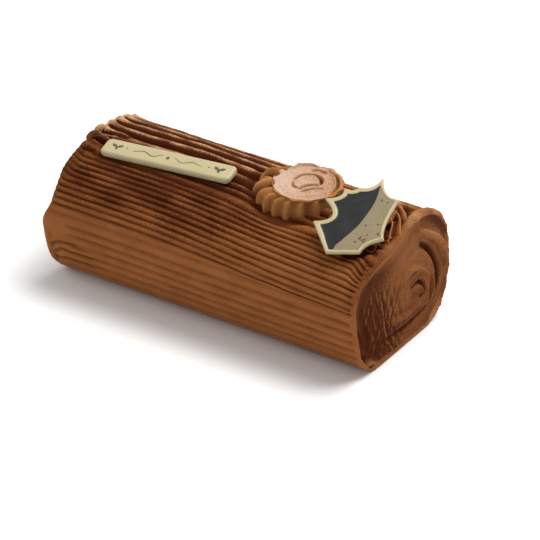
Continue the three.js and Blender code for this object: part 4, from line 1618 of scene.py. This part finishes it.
@dataclass
class HollyLeaf:
    """A holly leaf moulded in white chocolate: a raised rim round a dark and a speckled half."""

    thickness: float = 3.0
    round_over: float = 0.7
    outline_step: float = 0.55
    face_step: float = 0.5
    rims: tuple[float, float] = (1.6, 3.0)  # width of the rim right and left of the rib
    sunk: float = 0.5  # how much lower the printed fields lie than the rim
    at: tuple[float, float, float] = (88.56, -41.62, 79.6)  # middle of the stalk end, upper face
    yaw: float = 2.2
    tilt: float = 24.0
    roll: float = 4.0
    # Places on the leaf are (along it, to its left).
    stalk: tuple[Point, Point] = ((-1.9, 5.9), (5.3, -13.0))  # its left and right corner
    # The bottom of each bay with the tip of the spine that it leads to, from the stalk on.
    left: tuple[tuple[Point, Point], ...] = (
        ((7.3, 15.0), (16.1, 23.9)), ((22.3, 5.4), (33.4, 25.1)),
        ((37.6, 13.6), (43.8, 17.6)), ((43.4, 11.4), (48.0, 9.2)))
    right: tuple[tuple[Point, Point], ...] = (
        ((13.0, -12.2), (19.2, -22.0)), ((24.0, -16.2), (48.6, -16.9)))
    tip_bays: tuple[Point, Point] = ((49.8, -0.2), (45.2, -7.8))  # left and right of the tip
    tip: Point = (60.2, -0.5)
    rib: tuple[Point, ...] = (
        (5.2, 2.8), (17.3, -1.5), (25.0, -3.4), (35.9, -4.4), (43.7, -4.1), (51.0, -2.6))
    specks: int = 13
    speck_sizes: tuple[float, float] = (0.35, 0.7)
    speck_height: float = 0.2
    cluster: Point = (15.5, 11.0)  # middle of the specks' cluster: along, and to the right
    cluster_spread: float = 2.2

    def outline(self) -> Array:
        """Joins the spines by bays.

        Returns:
            The leaf's outline, anticlockwise, with its stalk near the origin and its tip
            along +Y.
        """
        right = [*self.right, (self.tip_bays[1], self.tip)]
        left = [*self.left, (self.tip_bays[0], self.tip)]
        bends = [(self.stalk[0], None, self.stalk[1])]
        for bay, spine in right:
            bends.append((bends[-1][2], bay, spine))
        for k in range(len(left) - 1, 0, -1):
            bends.append((left[k][1], left[k][0], left[k - 1][1]))
        bends.append((left[0][1], left[0][0], self.stalk[0]))
        rows = []
        for start, bend, stop in bends:
            bend = bend or np.add(start, stop) / 2
            for t in np.linspace(0, 1, 14, endpoint=False):
                along, side = ((1 - t) ** 2 * np.array(start) + 2 * t * (1 - t) * np.array(bend)
                               + t ** 2 * np.array(stop))
                rows.append((-side, along))
        return self.softened(resampled(np.array(rows), self.outline_step))

    @staticmethod
    def softened(points: Array, rounds: int = 3) -> Array:
        """Rounds the sharp tips a little.

        Args:
            points: An outline, one row for each point.
            rounds: How many times each point moves towards its neighbours.

        Returns:
            The softened outline.
        """
        for _ in range(rounds):
            points = 0.5 * points + 0.25 * (np.roll(points, 1, 0) + np.roll(points, -1, 0))
        return points

    def place(self) -> Matrix:
        """Where the leaf's upper face lies."""
        return placement(self.at, self.yaw, self.tilt, self.roll)

    def left_of_rib(self, points: Array) -> Array:
        """Distance to the left of the rib line, negative on its right."""
        line = smooth_path([*self.rib, self.tip])
        return -points[:, 0] - np.interp(points[:, 1], line[:, 0], line[:, 1])

    def rim(self, points: Array) -> Array:
        """How wide the rim is near each point.

        Args:
            points: Points of the leaf, one row each.

        Returns:
            The width at each point.
        """
        left = ramp(self.left_of_rib(points), -3, 5)
        stalk = 1 - ramp(points[:, 1], 3, 12)
        return self.rims[0] + (self.rims[1] - self.rims[0]) * left * (1 - 0.5 * stalk)

    def build(self) -> list[bpy.types.Object]:
        """Builds the leaf and the dark specks on its right half.

        Returns:
            The two pieces.
        """
        waves = Waves(61, (8, 30), (8, 30))

        def top(points: Array, gap: Array) -> Array:
            """The fields lie lower than the rim."""
            sunk = -self.sunk * ramp(gap - self.rim(points), -0.5, 0.4)
            return sunk + 0.05 * waves.at(points[:, 0], points[:, 1]) * ramp(gap, 0, 2)

        def marks(points: Array, gap: Array) -> dict[str, Array]:
            """What the print follows: the rim and the rib."""
            return {"inside": gap - self.rim(points), "left_of_rib": self.left_of_rib(points)}

        outline = self.outline()
        leaf = slab("leaf_body", outline, self.thickness, self.round_over, self.face_step,
                    top, self.place(), marks)
        dress(leaf, PRINTED.material(), "holly_leaf")
        field_face = self.place() @ Matrix.Translation((0, 0, -self.sunk))
        specks = plates("leaf_specks", self.speckles(outline), self.speck_height, field_face,
                        sunk=0.3)
        return [leaf, dress(specks, INK.material())]

    def speckles(self, outline: Array) -> list[Array]:
        """Strews the specks, every second one in a cluster near the stalk.

        Args:
            outline: The leaf's outline.

        Returns:
            The outline of each speck.
        """
        draw = np.random.default_rng(7)
        closed = np.vstack([outline, outline[:1]])
        shapes = []
        while len(shapes) < self.specks:
            if len(shapes) % 2:
                along, right = self.cluster
                spot = np.array([[draw.normal(right, self.cluster_spread),
                                  draw.normal(along, self.cluster_spread)]])
            else:
                spot = np.array([[draw.uniform(3, 20), draw.uniform(4, 50)]])
            inside, _ = distance_to(spot, closed)
            clear = inside[0] > self.rims[0] + 1.2 and self.left_of_rib(spot)[0] < -1.5
            if clear and within(spot[0], outline):
                size = draw.uniform(*self.speck_sizes)
                shapes.append(leaflet(tuple(spot[0]), size * 1.3, size, draw.uniform(0, math.pi)))
        return shapes


def within(point: Array, outline: Array) -> bool:
    """Whether a point lies inside an outline.

    Args:
        point: The point.
        outline: The outline, one row for each point.

    Returns:
        True inside, False outside.
    """
    x, y = point
    ax, ay = outline[:, 0], outline[:, 1]
    bx, by = np.roll(ax, -1), np.roll(ay, -1)
    crosses = (ay > y) != (by > y)
    with np.errstate(divide="ignore", invalid="ignore"):
        at = ax + (y - ay) / (by - ay) * (bx - ax)
    return bool(np.sum(crosses & (x < at)) % 2)


# ---------------------------------------------------------------- powders
@dataclass
class Dusting:
    """Grains of a powder lying on a piece, thickest where the piece's mark is highest."""

    name: str
    trees: Trees
    powder: Powder
    mark: str
    per_square_cm: float  # where the mark is 1
    smallest: float  # radius of the grains
    largest: float
    seed: int
    slot: str

    def build(self, under: bpy.types.Object) -> bpy.types.Object:
        """Scatters the grains over a piece.

        Args:
            under: The piece.

        Returns:
            All the grains as one piece.
        """
        base = bpy.data.objects.new(self.name + "_ground", under.data.copy())
        bpy.context.scene.collection.objects.link(base)
        grains = grown(base, self.trees.scatter, {
            "Mark": self.mark, "Density": self.per_square_cm * CM2_PER_M2,
            "Smallest": self.smallest * MM, "Largest": self.largest * MM, "Seed": self.seed,
            "Material": self.powder.material()}, self.name)
        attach(grains, BODY)
        return grains


# ---------------------------------------------------------------- the studio
@dataclass(frozen=True)
class Lamp:
    """A square soft box. Its place and size are in metres, its power in watts."""

    name: str
    at: tuple[float, float, float]
    size: float
    power: float

    def hang(self, aim: Vector) -> None:
        """Hangs the lamp.

        Args:
            aim: The place that it points at.
        """
        data = bpy.data.lights.new(self.name, "AREA")
        data.size, data.energy = self.size, self.power
        lamp = bpy.data.objects.new(self.name, data)
        lamp.location = self.at
        lamp.rotation_euler = (Vector(self.at) - aim).to_track_quat("Z", "Y").to_euler()
        bpy.context.scene.collection.objects.link(lamp)


@dataclass
class Studio:
    """A pale floor, soft lights and the camera."""

    azimuth: float = 33.51
    elevation: float = 31.09
    distance: float = 2.12  # metres
    lens: float = 230.2
    shift: tuple[float, float] = (0.0404, 0.0473)
    aim: tuple[float, float, float] = (0, 0, 0.04)  # the lamps' target, in metres
    lamps: tuple[Lamp, ...] = (
        Lamp("key", (0.4, 0.5, 1.5), size=1.0, power=30.0),
        Lamp("back", (-0.3, 1.6, 0.45), size=1.0, power=7.0),
        Lamp("side", (-1.1, -0.5, 0.9), size=1.0, power=5.0),
        Lamp("fill", (0.1, -1.5, 0.7), size=1.4, power=3.0))
    floor_reach: float = 3000.0
    floor_drop: float = 0.2  # how far below the cake the floor lies

    def build(self) -> None:
        """Sets up the floor, the sky, the lights and the camera."""
        self.camera()
        self.floor()
        self.sky()
        for lamp in self.lamps:
            lamp.hang(Vector(self.aim))
        bpy.context.scene.view_settings.view_transform = "Standard"

    def camera(self) -> None:
        """A long lens that looks at the origin from the front right."""
        az, el = math.radians(self.azimuth), math.radians(self.elevation)
        back = Vector((math.sin(az) * math.cos(el), -math.cos(az) * math.cos(el), math.sin(el)))
        data = bpy.data.cameras.new("camera")
        data.lens, data.sensor_width = self.lens, 36.0
        data.shift_x, data.shift_y = self.shift
        data.clip_start, data.clip_end = 0.1, 20.0
        eye = bpy.data.objects.new("camera", data)
        eye.location = back * self.distance
        eye.rotation_euler = back.to_track_quat("Z", "Y").to_euler()
        bpy.context.scene.collection.objects.link(eye)
        bpy.context.scene.camera = eye

    def floor(self) -> None:
        """A wide plain floor under the cake."""
        corners = self.floor_reach * np.array([(-1, -1, 0), (1, -1, 0), (1, 1, 0), (-1, 1, 0)])
        floor = mesh_object("floor", corners - (0, 0, self.floor_drop), [(0, 1, 2, 3)])
        made = bpy.data.materials.new("matt white paper")
        made.use_nodes = True
        shader = made.node_tree.nodes["Principled BSDF"]
        shader.inputs["Base Color"].default_value = linear("#f6f6f5")
        shader.inputs["Roughness"].default_value = 0.9
        floor.data.materials.append(made)

    def sky(self) -> None:
        """Even light from all around."""
        world = bpy.data.worlds.new("sky")
        world.use_nodes = True
        glow = world.node_tree.nodes["Background"]
        glow.inputs["Color"].default_value = linear("#fdfdfc")
        glow.inputs["Strength"].default_value = 0.35
        bpy.context.scene.world = world


# ---------------------------------------------------------------- the cake
def left_rosette(trees: Trees) -> Rosette:
    """The middle rosette, whose flat spiral face is dusted.

    Args:
        trees: The Geometry Nodes trees.

    Returns:
        The rosette, not yet built.
    """
    scratches = (
        Scratch(((33.0, -0.5), (34.4, 6.0), (40.6, 9.9), (47.2, 7.6), (49.6, 2.2)), 2.4, 1.5, 0.3),
        Scratch(((43.5, 9.6), (47.6, 7.3), (49.4, 3.0)), 0.9, 2.2, 0.3),
        Scratch(((41.4, -8.6), (43.4, -4.5), (46.0, -1.3), (49.6, 1.4)), 2.4, 1.5, 0.3),
        Scratch(((44.5, -11.0), (48.6, -5.5), (53.8, 0.0)), 1.9, 1.3, 0.3),
        Scratch(((36.0, 13.6), (40.5, 16.9), (46.0, 16.0)), 1.9, 1.5, 0.3),
        Scratch(((33.0, -1.0), (36.0, -6.5), (41.0, -8.5)), 1.2, 1.3, 0.3),
        Scratch(((21.0, 8.0), (25.0, 17.0), (32.0, 21.8), (38.0, 22.6)), 2.2, 1.3, 0.9),
        Scratch(((61.0, -4.0), (59.0, 7.0), (53.0, 15.5), (43.0, 20.6)), 2.2, 1.3, 0.5),
        Scratch(((8.0, -2.6), (11.0, 0.6), (16.5, 1.4), (20.5, 0.5)), 4.2, 3.0, 0.3),
        Scratch(((9.0, 6.2), (12.8, 7.6), (18.6, 8.6)), 2.8, 2.0, 0.35),
    )
    return Rosette(
        "left_rosette", trees, DUSTED, "dusted_buttercream",
        base=Disc(35.0, 0.5, 28.0, 25.0), top=Disc(41.2, 1.6, 21.2, 21.4), height=91.6, slope=0.0,
        flutes=16, scoop=0.062, phase=0.2, seed=5, scratches=scratches, crowding=(0.25, -1.2),
        open_at=3.3, roundness=1.7, open_reach=(0.35, 0.9), sugar=0.9)


def right_rosette(trees: Trees) -> Rosette:
    """The rosette under the leaf.

    Args:
        trees: The Geometry Nodes trees.

    Returns:
        The rosette, not yet built.
    """
    scratches = (
        Scratch(((80, -4), (84, 4), (92, 3), (95, -5)), 1.6, 1.4),
        Scratch(((74, 0), (80, 10), (92, 11), (98, 3)), 1.4, 1.3),
    )
    return Rosette(
        "right_rosette", trees, PIPED_PAINTED_LIGHT, "buttercream",
        base=Disc(87.5, -6.0, 23.5, 27.5), top=Disc(86.5, -4.0, 17.5, 18.5), height=89.2,
        slope=0.24, flutes=14, scoop=0.125, phase=0.3, seed=8, scratches=scratches,
        crowding=(0.1, -0.4), open_at=0.0, foot=74.0, tuck=0.6, lean=-0.9, lip=(0.0, 0.0),
        lip_height=0.2, open_reach=(3.0, 3.2), roundness=1.3, samples=24)


def main() -> None:
    """Builds the cake in order and reports each piece."""
    logging.basicConfig(level=logging.INFO, format="%(message)s")
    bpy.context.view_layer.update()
    trees = Trees(grooves_tree(), scatter_tree())
    Studio().build()
    coat = Log(trees).build()
    left = left_rosette(trees).build()
    pieces = [coat, left, right_rosette(trees).build()]
    pieces += Plaque().build()
    pieces += HollyLeaf().build()
    # Cocoa grains follow the cocoa mark, so they also lie thicker where that mark carries painted
    # shade.
    cocoa = Dusting("cocoa_on_coat", trees, COCOA, mark="cocoa", per_square_cm=35,
                    smallest=0.1, largest=0.24, seed=2, slot="buttercream")
    sugar = Dusting("sugar_on_rosette", trees, ICING_SUGAR, mark="sugar", per_square_cm=100,
                    smallest=0.07, largest=0.16, seed=4, slot="dusted_buttercream")
    pieces += [cocoa.build(coat), sugar.build(left)]
    for piece in pieces:
        piece.data.calc_loop_triangles()
        log.info("%s: %d triangles", piece.name, len(piece.data.loop_triangles))


if __name__ == "__main__":
    main()
